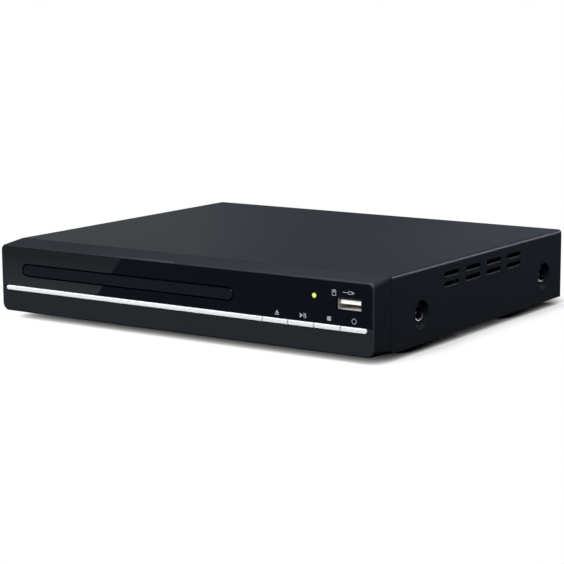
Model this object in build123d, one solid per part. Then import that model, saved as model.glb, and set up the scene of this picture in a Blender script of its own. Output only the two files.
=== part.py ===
from build123d import *
import math
import os

# Disc player with a sliding tray: bent steel cover over a steel base, moulded front, disc loader inside.
# Millimetres. While modelling, y runs back from the front face; on export the part is centred in depth.

# Case
BODY_W = 225.0            # overall width
FOOT_H = 4.0              # feet lift the case this far
SLOT_RISE = 22.3          # case bottom to the middle of the tray slot
HEADROOM = 13.7           # middle of the tray slot to the top of the cover
SHEET = 0.8               # steel sheet
BEND_R = 1.8              # outer bend of the cover
COVER_LIP = 9.0           # cover's rear lip, folded down over the rear panel
FIT = 0.3                 # general clearance between neighbouring pieces
RUNNING = 0.05            # radial clearance of a shaft in its bore
AV_BAY = 28.0             # room behind the loader for the main board and sockets
JACK_REACH = 8.5          # phono barrels stand this far behind the cover

# Front
BEZEL_D = 15.0            # front face to the cover's edge
FACE_DROP = 1.4           # front face is this much lower than the cover
FACE_RISE = 0.3           # and its lower edge this much higher than the case bottom
FACE_TOP_R = 3.2
FACE_BOTTOM_R = 4.0
SEAM_R = 1.8              # corners of the bezel where it meets the cover
EDGE_R = 0.8              # soft edge round the front face
BEZEL_WALL = 2.0
FRONT_WALL = 3.6          # front face to the back of the bezel's front wall
LOWER_WALL = 2.2
BEZEL_TOP_WALL = 3.0
LIP_T = 1.2
LIP_L = 4.0
FASCIA_T = 1.6
FASCIA_INSET = 1.0
FASCIA_PLAY = 0.1

# Trim strip and buttons
STRIP_RISE = 12.4         # case bottom to the middle of the strip
STRIP_H = 2.4
STRIP_PROUD = 0.4
STRIP_MARGIN = 3.3        # strip end to the side of the case
STRIP_EDGE_R = 0.5
GROOVE_D = 2.0
GROOVE_PLAY = 0.25
BROW = 0.6                # chamfer along the lower body's top edge
BUTTON_PITCH = 14.3
BUTTON_GAP = 0.3
BUTTON_TRAVEL = 0.6
BUTTON_REST = 0.1         # free play at the end of each travel
STEM_W = 9.0
STEM_H = 1.4
SHOULDER_W = 10.8
SHOULDER_H = 2.4
SHOULDER_T = 1.0
BUTTONS = ("eject", "play", "stop", "power")

# Status light, remote receiver and front socket
LED_FROM_SIDE = 31.8
LED_RISE = 26.5
LED_R = 1.6
LED_FLAT = 0.9            # flat on the lens, from its centre
IR_FROM_LED = 6.4
IR_W = 6.0
USB_FROM_SIDE = 13.25
USB_RISE = 23.8
USB_W = 13.1
USB_H = 5.7
USB_SHELL = 0.4
USB_TONGUE_T = 1.9
USB_TONGUE_GAP = 0.5      # socket's roof to its tongue
USB_INSULATOR = 3.0
FRONT_BOARD_Y = 14.0      # front face to the front board
BOARD_T = 1.6
SWITCH_W = 6.0
SWITCH_H = 3.5
PLUNGER_R = 1.7
PLUNGER_L = 1.0
SWITCH_CORNER_R = 0.8
IR_D = 4.5                # remote receiver's depth

# Disc tray
DISC_R = 60.0
DISC_PLAY = 0.6
SMALL_DISC_R = 40.0
LEFT_MARGIN = 14.2        # side of the case to the tray slot
TRAY_RIM = 2.9
TRAY_H = 5.2
TRAY_NOSE = 2.8
TRAY_PLATE = 1.4
TRAY_CORNER_R = 3.0
TRAY_SKIRT = 2.0
RECESS_D = 1.9
SMALL_RECESS_D = 0.6
WINDOW_W = 44.0
FINGER_R = 5.2
DOOR_T = 2.6
DOOR_GAP = 0.6
DOOR_EDGE_R = 0.5
SLOT_OVER = 3.2           # slot's round ends reach this far past the tray
SLOT_H = 6.8
RACK_TAIL = 6.0
RACK_BACK = 2.4

# Gear train of the tray
PRESSURE_ANGLE = math.radians(20.0)
BACKLASH = 0.18
RACK_MODULE = 1.0
RACK_GEAR_TEETH = 20
DRIVE_MODULE = 0.6
DRIVE_GEAR_TEETH = 34
PINION_TEETH = 16
GEAR_OFFSET = 34.0        # tray gear beside the middle of the tray
GEAR_FACE = 3.4
AXLE_R = 1.5
HUB_R = 3.5
BIG_PULLEY_R = 10.0
SMALL_PULLEY_R = 3.9
GROOVE_DEPTH = 1.4
PULLEY_W = 3.4
BELT_T = 1.0
MOTOR_OFFSET = -16.0      # loading motor beside the middle of the tray
MOTOR_R = 10.4
MOTOR_H = 8.6
MOTOR_RING = 1.4          # wall of the ring that locates the motor
SHAFT_R = 1.0

# Loader frame
LOADER_SETBACK = 2.0      # cover's edge to the loader
LOADER_TAIL = 3.5
LOADER_WALL = 2.2
SIDE_PLAY = 0.8
DECK_T = 1.6
SEAT_H = 2.2              # bosses of the base under the loader
RAIL_W = 3.3
RAIL_T = 2.0
HOOK_T = 1.4
HOOK_L = 12.0
WALL_OVER = 3.1           # loader walls stand this far above the tray
EAR_R = 4.0
EAR_REACH = 3.2           # loader wall to the screw in its ear
EAR_INSET = 8.0           # loader's ends to the screws in its ears
HOOK_INSET = 4.0          # loader's front to the first pair of hooks
HOOK_MIDDLE = 36.0        # disc centre to the second pair
BEARING_R = 4.5           # rounded head of a traverse bearing
BRIDGE_BOSS_H = 10.0
BOSS_R = 2.8
FLOOR_STRIP = 20.0        # width of the frame's floor beside the traverse

# Traverse: tilting plate with the spindle and the pickup
DISC_LIFT = 1.0           # turntable holds the disc this far above the tray
TRAVERSE_DROP = 12.0      # disc seat to the underside of the plate
PLATE_T = 1.6
PLATE_HALF = 38.5
CAM_DROP = 9.04           # how far the cam lowers the front of the traverse
CAM_TRAVEL = 14.0
CAM_T = 2.0
CAM_PIN_R = 1.2
CAM_PIN_OFFSET = -21.0    # pin stands beside the spindle motor
CAM_PLAY = 0.25
CAM_RIB = 1.0
CAM_RIB_H = 1.6
CAM_SIDE = 6.0            # slider material beside its slot
TURNTABLE_R = 14.0
ROTOR_R = 13.0
CENTRING_R = 7.3
STATOR_R = 15.0
STATOR_BASE = 1.2
STATOR_H = 4.8
ROTOR_WALL = 1.0
ROTOR_RISE = 1.5          # plate to the rotor's lower edge
ROTOR_H = 6.6             # plate to the rotor's top
ROTOR_ROOF = 1.4
TURNTABLE_T = 1.4
TURNTABLE_TAPER = 1.2
WAIST_STEP = 5.0          # turntable's edge to its waist
CONE_H = 2.6
LENS_START = 23.0         # disc centre to the lens, pickup parked
OUTER_BAND = 2.0          # edge of the disc that the lens doesn't reach
BUSH_REACH = 4.0          # pickup body to the middle of a rod
PICKUP_FRONT = 8.0
PICKUP_BACK = 14.0
PICKUP_LIFT = 0.6         # plate to the pickup body
PICKUP_DROP = 3.4         # disc seat to the pickup body
LENS_WELL_W = 18.0
LENS_WELL_L = 10.0
LENS_MOUNT_W = 12.0
LENS_MOUNT_L = 7.0
BUSH_WALL = 1.0
NUT_WALL = 0.9
NUT_L = 6.0
ROD_R = 1.5
ROD_EDGE = 14.5           # guide rod to the side of the plate
SCREW_R = 1.5
SCREW_INSET = 6.0         # lead screw into its motor
SCREW_EDGE = 5.5          # lead screw to the side of the plate
SLED_MOTOR_R = 2.8
SLED_MOTOR_L = 14.0
BRACKET_T = 4.0
BRACKET_R = 3.0           # rounded head of a rod bracket
POST_R = 2.7              # rounded head of a screw post
UPSTAND_W = 10.0          # upstand that carries the cam pin
LENS_R = 2.6
BRIDGE_HALF = 18.0
BRIDGE_SCREW = 12.0       # disc centre to the bridge's screws
BRIDGE_T = 1.0
PUCK_R = 12.6
PUCK_FLANGE_R = 15.5

# Boards and sockets
BOARD_RISE = 7.2          # base to the underside of the boards
RIBBON_T = 0.8
RIBBON_W = 7.0
RIBBON_OFFSET = 9.5       # loader's side to the middle of the ribbon
RIBBON_BEND = 4.0
RIBBON_CREST = 5.0        # tray slot's middle to the crest of the power ribbon
POWER_OFFSET = 13.0       # loader's side to the power board
BOARD_MARGIN = 5.0
HEADER_H = 5.0
JACK_R = 4.15
JACK_WALL = 0.75
JACK_NECK = 0.2           # barrel is slimmer inside its collar
JACK_COLLAR_R = 5.2
PIN_HOLE_R = 1.6
JACK_PITCH = 14.0
JACK_RISE = 7.0           # main board to the middle of the phono jacks
JACK_SLOPE = 4.0          # chamfer on the jack housing
JACK_END = 52.4           # last jack to the right end of the main board
JACK_SETBACK = 10.0       # front of the main board to the jack housing
PANEL_FOOT = 8.0          # foot of the rear panel on the base
DECODER_W = 16.0
DECODER_L = 12.0
CHIP_T = 1.4
FIN_H = 7.0
FIN_T = 1.1
FINS = 6
SINK_BASE = 2.0
SMALL_CAN_R = 2.5
SMALL_CAN_H = 9.0
SMALL_CAN_PITCH = 7.0
SMALL_CANS = 5
HDMI_FROM_SIDE = 28.0
HDMI_W = 15.0
HDMI_H = 5.6
HDMI_D = 11.0
HDMI_SHELL = 0.5
HDMI_STEP = 1.4           # height of the drawn-in lower corners
HDMI_DRAW = 2.0           # how far they are drawn in
INLET_FROM_SIDE = 22.0
INLET_W = 21.0
INLET_H = 12.4
INLET_D = 17.0
INLET_SLOT_W = 16.2
INLET_SLOT_H = 8.8
INLET_DEPTH = 12.0
INLET_PIN_R = 1.2
INLET_PIN_PITCH = 8.6
CORE_W = 24.0             # transformer core
CORE_H = 16.0
CORE_D = 8.0
WINDING_W = 16.0
WINDING_H = 10.0
WINDING_L = 18.0
BOBBIN_W = 20.0
RESERVOIR_R = 7.0         # mains capacitor
RESERVOIR_H = 18.0
OUTPUT_CAN_R = 4.5
OUTPUT_CAN_H = 14.0
OUTPUT_CAN_EDGE = 10.0    # board's side to the first output capacitor
OUTPUT_CAN_PITCH = 14.0

# Fixings
SCREW_HOLE_R = 1.7
SIDE_SCREW_Y = 42.0
SIDE_SCREW_BACK = 20.5    # rear screw to the back of the case
SIDE_SCREW_RISE = 14.0
SIDE_HEAD_R = 3.6
SIDE_HEAD_H = 1.9
SIDE_SCREW_L = 6.0
LIP_HEAD_R = 3.0
LIP_HEAD_H = 1.7
LIP_SCREW_L = 5.0
SLIM_HEAD_R = 2.4         # screws of the bezel, front board and bridge
BOARD_HEAD_R = 2.6
STOUT_HEAD_R = 2.8        # screws of the loader and the rear panel
INNER_HEAD_H = 1.6
BEZEL_SCREW_L = 8.0
FRONT_BOARD_SCREW_L = 7.0
BRIDGE_SCREW_L = 6.0
BOARD_SCREW_L = 6.0
PANEL_SCREW_L = 4.0
BEZEL_BOSS_INSET = 12.0   # side of the case to the bezel's outer bosses
DIMPLE_R = 6.8
DIMPLE_FLOOR_R = 5.2
DIMPLE_D = 2.2
TAB_L = 18.0
TAB_H = 21.0
TAB_R = 2.0
TAB_FOOT = 4.0            # square root of a screw tab
FRONT_FLANGE_H = 8.4
SIDE_FLANGE_H = 5.0
BASE_SLOTS = 7            # cooling slots in each field of the base
BASE_SLOT_L = 42.0
BASE_SLOT_W = 2.4
BASE_SLOT_PITCH = 7.0
POWER_SLOT_BACK = 40.0    # disc centre to the slots under the power board
REAR_SLOTS = 8
REAR_SLOT_L = 11.0
REAR_SLOT_W = 2.0
REAR_SLOT_PITCH = 4.2
REAR_SLOT_OFFSET = 44.0   # inlet to the furthest cooling slot
REAR_SLOT_RISE = 5.0
REAR_SCREW_X = 74.0
VENT_L = 14.2
VENT_H = 1.8
VENT_RIM = 0.45           # chamfer round a vent
VENT_PITCH = 21.4
VENT_ROW = 4.8
VENT_Y = 103.0            # middle of the vents, from the front
VENT_RISE = 27.1
VENT_COLUMNS = 4
FOOT_R = 8.5
FOOT_FROM_SIDE = 12.5
FOOT_FRONT_Y = 40.0
FOOT_BACK = 49.0

# Heights
BODY_BOTTOM = FOOT_H
BASE_TOP = BODY_BOTTOM + SHEET
SLOT_Z = BODY_BOTTOM + SLOT_RISE
BODY_TOP = SLOT_Z + HEADROOM
COVER_INSIDE = BODY_TOP - SHEET
TRAY_BOTTOM = SLOT_Z - TRAY_H / 2
TRAY_TOP = SLOT_Z + TRAY_H / 2
TRAY_FLOOR = TRAY_TOP - RECESS_D
PLATE_UNDER_TRAY = TRAY_FLOOR - TRAY_PLATE
DECK_BOTTOM = BASE_TOP + SEAT_H
DECK_TOP = DECK_BOTTOM + DECK_T
RAIL_TOP = TRAY_BOTTOM - FIT
WALL_TOP = TRAY_TOP + WALL_OVER
BRIDGE_TOP = WALL_TOP + BRIDGE_T
DISC_SEAT = TRAY_FLOOR + DISC_LIFT
PLATE_BOTTOM = DISC_SEAT - TRAVERSE_DROP
PLATE_TOP = PLATE_BOTTOM + PLATE_T
ROD_Z = PLATE_TOP + 2.9
SCREW_Z = ROD_Z
BOARD_BOTTOM = BASE_TOP + BOARD_RISE
BOARD_TOP = BOARD_BOTTOM + BOARD_T
STRIP_Z = BODY_BOTTOM + STRIP_RISE
GROOVE_LOW = STRIP_Z - STRIP_H / 2 - GROOVE_PLAY
GROOVE_HIGH = STRIP_Z + STRIP_H / 2 + GROOVE_PLAY
LED_Z = BODY_BOTTOM + LED_RISE
USB_Z = BODY_BOTTOM + USB_RISE
SIDE_SCREW_Z = BODY_BOTTOM + SIDE_SCREW_RISE
VENT_Z = BODY_BOTTOM + VENT_RISE
JACK_Z = BOARD_TOP + JACK_RISE
INLET_Z = BOARD_TOP + INLET_H / 2
FRONT_SCREW_Z = BODY_BOTTOM + 5.0

# Widths
SIDE = BODY_W / 2
COVER_SIDE = SIDE - SHEET
TAB_SIDE = SIDE - DIMPLE_D - SHEET
RECESS_R = DISC_R + DISC_PLAY
SMALL_RECESS_R = SMALL_DISC_R + DISC_PLAY
TRAY_W = 2 * (RECESS_R + TRAY_RIM)
SLOT_W = TRAY_W + 2 * SLOT_OVER
TRAY_X = -SIDE + LEFT_MARGIN + SLOT_W / 2
LOADER_IN = TRAY_W / 2 + SIDE_PLAY
LOADER_OUT = LOADER_IN + LOADER_WALL
LOADER_RIGHT = TRAY_X + LOADER_OUT
FLOOR_IN = LOADER_OUT - FLOOR_STRIP
RIBBON_X = LOADER_RIGHT + RIBBON_OFFSET
POWER_LEFT = LOADER_RIGHT + POWER_OFFSET
POWER_RIGHT = SIDE - BOARD_MARGIN
POWER_MIDDLE = (POWER_LEFT + POWER_RIGHT) / 2
MAIN_LEFT = -SIDE + 2 * BOARD_MARGIN
MAIN_RIGHT = RIBBON_X + RIBBON_W / 2
MAIN_HEADER_X = MAIN_RIGHT - 22.0
POWER_HEADER_X = POWER_LEFT + 6.0
FRONT_BOARD_LEFT = TRAY_X + SLOT_W / 2 + BEZEL_WALL
FRONT_BOARD_RIGHT = SIDE - BOARD_MARGIN
BUTTON_END = SIDE - STRIP_MARGIN
LED_X = SIDE - LED_FROM_SIDE
IR_X = LED_X + IR_FROM_LED
USB_X = SIDE - USB_FROM_SIDE
HDMI_X = -SIDE + HDMI_FROM_SIDE
INLET_X = SIDE - INLET_FROM_SIDE
GEAR_X = TRAY_X + GEAR_OFFSET
RACK_GEAR_R = RACK_MODULE * RACK_GEAR_TEETH / 2
DRIVE_PITCH = DRIVE_MODULE * (DRIVE_GEAR_TEETH + PINION_TEETH) / 2
PULLEY_X = GEAR_X - DRIVE_PITCH
MOTOR_X = TRAY_X + MOTOR_OFFSET
CAM_PIN_X = TRAY_X + CAM_PIN_OFFSET
CAM_LEFT = CAM_PIN_X - CAM_TRAVEL - CAM_SIDE
CAM_RIGHT = CAM_PIN_X + CAM_SIDE
SCREW_X = TRAY_X - PLATE_HALF + SCREW_EDGE
ROD_OFFSET = PLATE_HALF - ROD_EDGE
PICKUP_HALF = ROD_OFFSET - BUSH_REACH
FLANGE_SIDE = COVER_SIDE - 2 * FIT - LIP_T
JACK_X = [MAIN_RIGHT - JACK_END - JACK_PITCH * (3 - index) for index in range(4)]

# Depths
COVER_FRONT = BEZEL_D + FIT
FLANGE_Y = BEZEL_D + 1.0
LOADER_FRONT = BEZEL_D + LOADER_SETBACK
DISC_Y = DOOR_T + TRAY_NOSE + RECESS_R
TRAY_TRAVEL = DISC_Y + RECESS_R - DOOR_T
GEAR_Y = LOADER_FRONT + RACK_GEAR_R + 1.5 * RACK_MODULE
TRAY_REAR = GEAR_Y + TRAY_TRAVEL + RACK_TAIL
LOADER_REAR = TRAY_REAR + LOADER_TAIL
BODY_D = LOADER_REAR + AV_BAY
PANEL_OUT = BODY_D - SHEET
PANEL_IN = PANEL_OUT - SHEET
MOTOR_Y = LOADER_FRONT + MOTOR_R + FIT + MOTOR_RING + 0.5
CAM_FRONT = GEAR_Y + RACK_GEAR_R + RACK_MODULE + 2.8
CAM_BACK = CAM_FRONT + CAM_T
DECK_END = CAM_BACK + FIT + CAM_RIB
PLATE_FRONT = DECK_END + FIT + 0.5
ROD_FRONT = PLATE_FRONT + 6.0
LENS_Y = DISC_Y + LENS_START
PICKUP_TRAVEL = DISC_R - LENS_START - OUTER_BAND
PICKUP_END = LENS_Y + PICKUP_TRAVEL + PICKUP_BACK
ROD_REAR = PICKUP_END + 2.0
HINGE_Y = ROD_REAR + BRACKET_T + 3.0
HINGE_Z = PLATE_BOTTOM + PLATE_T / 2
PLATE_REAR = HINGE_Y + 2.0
CAM_PIN_Z = PLATE_TOP + 3.2
CAM_PIN_Y = (CAM_FRONT + CAM_BACK) / 2
MAIN_FRONT = LOADER_REAR + 2.0
MAIN_BACK = PANEL_IN - 1.0
RIBBON_END = MAIN_FRONT + RIBBON_W / 2 + 1.0
SOCKET_BACK = PANEL_OUT + 0.4
INLET_BACK = PANEL_OUT + 0.6
JACK_SEAT = PANEL_IN - 2.0
JACK_FRONT = PANEL_IN - 4.0
JACK_TIP = BODY_D + JACK_REACH
SEAT_BACK = PANEL_IN - PANEL_FOOT - BOSS_R - FIT
POWER_FRONT = FRONT_BOARD_Y + 16.0
SIDE_SCREW_YS = (SIDE_SCREW_Y, BODY_D - SIDE_SCREW_BACK)
TOTAL_D = STRIP_PROUD + BODY_D + JACK_REACH
FRONT_Y = STRIP_PROUD - TOTAL_D / 2

# Gear levels
LOW_GEAR_Z = DECK_TOP + 4.0
LOW_GEAR_TOP = LOW_GEAR_Z + GEAR_FACE
PULLEY_Z = LOW_GEAR_TOP + 2.0
PULLEY_TOP = PULLEY_Z + PULLEY_W
BELT_Z = (PULLEY_Z + PULLEY_TOP) / 2
RACK_GEAR_Z = TRAY_BOTTOM - FIT
RACK_GEAR_TOP = PLATE_UNDER_TRAY - FIT


# Shapes that repeat

def span(x0, x1, y0, y1, z0, z1):
    """Block between two corners."""
    return Pos((x0 + x1) / 2, (y0 + y1) / 2, (z0 + z1) / 2) * Box(x1 - x0, y1 - y0, z1 - z0)


def upright(x, y, radius, z0, z1):
    """Round post along z."""
    return Pos(x, y, (z0 + z1) / 2) * Cylinder(radius, z1 - z0)


def along_y(x, z, radius, y0, y1):
    """Round bar along y."""
    return Pos(x, (y0 + y1) / 2, z) * Rot(90, 0, 0) * Cylinder(radius, y1 - y0)


def along_x(y, z, radius, x0, x1):
    """Round bar along x."""
    return Pos((x0 + x1) / 2, y, z) * Rot(0, 90, 0) * Cylinder(radius, x1 - x0)


def front_plane(y):
    """Plane that faces forwards at a depth, with x to the right and z up."""
    return Plane(origin=(0, y, 0), x_dir=(1, 0, 0), z_dir=(0, -1, 0))


def facing_front(outline, y0, y1):
    """Outline seen from the front, made solid between two depths."""
    return extrude(front_plane(y1) * outline, amount=y1 - y0)


def from_side(outline, x0, x1):
    """Outline drawn in depth and height, made solid across."""
    plane = Plane(origin=(x0, 0, 0), x_dir=(0, 1, 0), z_dir=(1, 0, 0))
    return extrude(plane * outline, amount=x1 - x0)


def lying(outline, z0, z1):
    """Outline seen from above, made solid between two heights."""
    return extrude(Pos(0, 0, z0) * outline, amount=z1 - z0)


def turned(x, y, profile):
    """Radius and height profile revolved about an upright axis."""
    return Pos(x, y, 0) * revolve(Plane.XZ * Polygon(*profile), Axis.Z)


def turned_rearwards(x, z, profile):
    """Radius and depth profile revolved about an axis that runs back."""
    plane = Plane(origin=(0, 0, 0), x_dir=(1, 0, 0), z_dir=(0, 0, 1))
    return Pos(x, 0, z) * revolve(plane * Polygon(*profile), Axis.Y)


def rounded_outline(width, low, high, top_radius, bottom_radius):
    """Upright rectangle whose upper and lower corners have their own radii."""
    sheet = Pos(0, (low + high) / 2) * Rectangle(width, high - low)
    sheet = fillet(sheet.vertices().group_by(Axis.Y)[-1], top_radius)
    return fillet(sheet.vertices().group_by(Axis.Y)[0], bottom_radius)


def screw(head_radius, head_height, shank_radius, length):
    """Pan-head screw: head above z = 0, shank below it."""
    crown = head_radius * 0.6
    profile = ((0, -length), (shank_radius, -length), (shank_radius, 0), (head_radius, 0),
               (head_radius, head_height * 0.4), (crown, head_height), (0, head_height))
    return turned(0, 0, profile)


def gear_outline(module, teeth):
    """Involute gear with one tooth centred on +x."""
    pitch_r = module * teeth / 2
    base_r = pitch_r * math.cos(PRESSURE_ANGLE)
    root_r = pitch_r - 1.25 * module
    tip_r = pitch_r + module
    half = (math.pi * module / 2 - BACKLASH) / (2 * pitch_r)
    at_pitch = math.tan(PRESSURE_ANGLE) - PRESSURE_ANGLE

    def half_angle(radius):
        angle = math.acos(min(1.0, base_r / radius))
        return half + at_pitch - math.tan(angle) + angle

    start_r = max(base_r, root_r)
    flank = [(root_r, half_angle(start_r))]
    flank += [(radius, half_angle(radius)) for radius in (start_r * 1.001, pitch_r, tip_r)]
    points = []
    for tooth in range(teeth):
        middle = 2 * math.pi * tooth / teeth
        for side, edge in ((-1, flank), (1, flank[::-1])):
            for radius, angle in edge:
                turn = middle + side * angle
                points.append((radius * math.cos(turn), radius * math.sin(turn)))
    return make_face(Polyline(*points, close=True))


def rack_outline(teeth_ahead, teeth_behind):
    """Rack beside the tray gear, with a gap at the gear's own depth."""
    pitch = math.pi * RACK_MODULE
    line = GEAR_X + RACK_GEAR_R
    tip = line - RACK_MODULE
    root = line + 1.25 * RACK_MODULE
    slope = math.tan(PRESSURE_ANGLE)
    half = (pitch / 2 - BACKLASH) / 2
    tip_half = half - RACK_MODULE * slope
    root_half = half + 1.25 * RACK_MODULE * slope
    points = [(root + RACK_BACK, GEAR_Y - teeth_ahead * pitch), (root, GEAR_Y - teeth_ahead * pitch)]
    for tooth in range(-teeth_ahead, teeth_behind):
        middle = GEAR_Y + (tooth + 0.5) * pitch
        points.append((root, middle - root_half))
        points.append((tip, middle - tip_half))
        points.append((tip, middle + tip_half))
        points.append((root, middle + root_half))
    points.append((root, GEAR_Y + teeth_behind * pitch))
    points.append((root + RACK_BACK, GEAR_Y + teeth_behind * pitch))
    return make_face(Polyline(*points, close=True))


def ribbon(points, bend, across, width):
    """Flat cable along straight runs and arcs, with its width along the direction across."""
    path = FilletPolyline(*points, radius=bend)
    start = Plane(origin=path @ 0, x_dir=across, z_dir=path % 0)
    return sweep(start * Rectangle(width, RIBBON_T), path=path)


# Case

def top_cover():
    """Bent cover: top, two sides and a rear lip, with pressed screw dimples and side vents."""
    outer = span(-SIDE, SIDE, COVER_FRONT, BODY_D, BODY_BOTTOM, BODY_TOP)
    outer = fillet(outer.edges().filter_by(Axis.Y).group_by(Axis.Z)[-1], BEND_R)
    inner = span(-COVER_SIDE, COVER_SIDE, COVER_FRONT - 1, PANEL_OUT, BODY_BOTTOM - 1, COVER_INSIDE)
    inner = fillet(inner.edges().filter_by(Axis.Y).group_by(Axis.Z)[-1], BEND_R - SHEET)
    cover = outer - inner
    cover -= span(-COVER_SIDE, COVER_SIDE, PANEL_IN, BODY_D + 1, BODY_BOTTOM - 1, BODY_TOP - COVER_LIP)
    vents = Sketch()
    for column in range(VENT_COLUMNS):
        y = VENT_Y + (column - (VENT_COLUMNS - 1) / 2) * VENT_PITCH
        for row in (-1, 1):
            vents += Pos(y, VENT_Z + row * VENT_ROW / 2) * SlotOverall(VENT_L, VENT_H)
    cover -= from_side(vents, -SIDE - 1, SIDE + 1)
    reach = VENT_ROW / 2 + VENT_H
    rims = cover.edges().filter_by_position(Axis.Z, VENT_Z - reach, VENT_Z + reach)
    outside = SIDE - SHEET / 2
    cover = chamfer(rims.filter_by(lambda edge: abs(edge.center().X) > outside), VENT_RIM)
    for side in (-1, 1):
        for y in SIDE_SCREW_YS:
            pressed_d = DIMPLE_D + SHEET
            pressed = Cone(DIMPLE_FLOOR_R + SHEET, DIMPLE_R + SHEET, pressed_d)
            hollow = Cone(DIMPLE_FLOOR_R, DIMPLE_R, DIMPLE_D)
            place = Pos(0, y, SIDE_SCREW_Z)
            cover += place * Pos(side * (SIDE - pressed_d / 2), 0, 0) * Rot(0, side * 90, 0) * pressed
            cover -= place * Pos(side * (SIDE - DIMPLE_D / 2), 0, 0) * Rot(0, side * 90, 0) * hollow
        cover -= along_y(side * REAR_SCREW_X, BODY_TOP - COVER_LIP / 2, SCREW_HOLE_R, PANEL_IN, BODY_D + 1)
    for y in SIDE_SCREW_YS:
        cover -= along_x(y, SIDE_SCREW_Z, SCREW_HOLE_R, -SIDE - 1, SIDE + 1)
    return cover


def loader_seats():
    """Places of the four loader screws."""
    reach = LOADER_OUT + EAR_REACH
    rows = (LOADER_FRONT + EAR_INSET, LOADER_REAR - EAR_INSET)
    return [(TRAY_X + side * reach, y) for side in (-1, 1) for y in rows]


def board_seats(left, right, front, back):
    """Four screw places near a board's corners."""
    inset = BOSS_R + SCREW_HOLE_R / 2
    return [(x, y) for x in (left + inset, right - inset) for y in (front + inset, back)]


def main_board_seats():
    """Screw places of the main board, clear of the rear panel's foot."""
    return board_seats(MAIN_LEFT, RIBBON_X - RIBBON_W / 2, MAIN_FRONT, SEAT_BACK)


def power_board_seats():
    """Screw places of the power board, in front of its header."""
    return board_seats(POWER_LEFT, POWER_RIGHT, POWER_FRONT, MAIN_FRONT - BOSS_R - 1.0)


def bezel_bosses():
    """Places across the front where the bezel is screwed to the base."""
    return (-SIDE + BEZEL_BOSS_INSET, RIBBON_X, SIDE - BEZEL_BOSS_INSET)


def base_pan():
    """Steel floor with a front flange, screw tabs, side flanges, bosses and cooling slots."""
    edge = COVER_SIDE - FIT
    pan = span(-edge, edge, COVER_FRONT, PANEL_OUT, BODY_BOTTOM, BASE_TOP)
    flange_top = BASE_TOP + FRONT_FLANGE_H
    pan += span(-FLANGE_SIDE, FLANGE_SIDE, FLANGE_Y, FLANGE_Y + SHEET, BODY_BOTTOM, flange_top)
    tab_half = TAB_L / 2
    for side in (-1, 1):
        inner, outer = sorted((side * (TAB_SIDE - SHEET), side * TAB_SIDE))
        for y in SIDE_SCREW_YS:
            plate = Pos(y, BODY_BOTTOM + TAB_H / 2) * RectangleRounded(TAB_L, TAB_H, TAB_R)
            tab = from_side(plate, inner, outer)
            root = BASE_TOP + TAB_FOOT
            pan += tab + span(inner, outer, y - tab_half, y + tab_half, BODY_BOTTOM, root)
        inner, outer = sorted((side * (edge - SHEET), side * edge))
        front, back = SIDE_SCREW_YS
        side_top = BASE_TOP + SIDE_FLANGE_H
        pan += span(inner, outer, front + tab_half, back - tab_half, BODY_BOTTOM, side_top)
        for y in SIDE_SCREW_YS:
            pan -= along_x(y, SIDE_SCREW_Z, SCREW_HOLE_R, side * TAB_SIDE - 3, side * TAB_SIDE + 3)
    for x, y in loader_seats():
        pan += upright(x, y, EAR_R, BODY_BOTTOM, DECK_BOTTOM)
        pan -= upright(x, y, AXLE_R, BODY_BOTTOM - 1, DECK_BOTTOM + 1)
    for x, y in main_board_seats() + power_board_seats():
        pan += upright(x, y, BOSS_R, BODY_BOTTOM, BOARD_BOTTOM)
        pan -= upright(x, y, AXLE_R, BODY_BOTTOM - 1, BOARD_BOTTOM + 1)
    for x in bezel_bosses():
        pan -= along_y(x, FRONT_SCREW_Z, SCREW_HOLE_R, FLANGE_Y - 1, FLANGE_Y + 2)
    slots = Sketch()
    slot = SlotOverall(BASE_SLOT_L, BASE_SLOT_W, rotation=90)
    for index in range(BASE_SLOTS):
        across = (index - (BASE_SLOTS - 1) / 2) * BASE_SLOT_PITCH
        slots += Pos(POWER_MIDDLE + across, DISC_Y + POWER_SLOT_BACK) * slot
        slots += Pos(TRAY_X + across, DISC_Y) * slot
    pan -= lying(slots, BODY_BOTTOM - 1, BASE_TOP + 1)
    for x in (-REAR_SCREW_X, 0, REAR_SCREW_X):
        pan -= upright(x, PANEL_IN - PANEL_FOOT / 2, SCREW_HOLE_R, BODY_BOTTOM - 1, BASE_TOP + 1)
    return pan


def hdmi_outline(grow):
    """Socket outline with its two lower corners drawn in."""
    half_w = HDMI_W / 2 + grow
    half_h = HDMI_H / 2 + grow
    low_w = half_w - HDMI_DRAW
    step = HDMI_STEP - half_h
    foot = HDMI_STEP * 0.4 - half_h
    points = ((-half_w, half_h), (half_w, half_h), (half_w, step), (low_w, foot), (low_w, -half_h),
              (-low_w, -half_h), (-low_w, foot), (-half_w, step))
    return Pos(HDMI_X, BOARD_TOP + HDMI_H / 2) * make_face(Polyline(*points, close=True))


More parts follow.
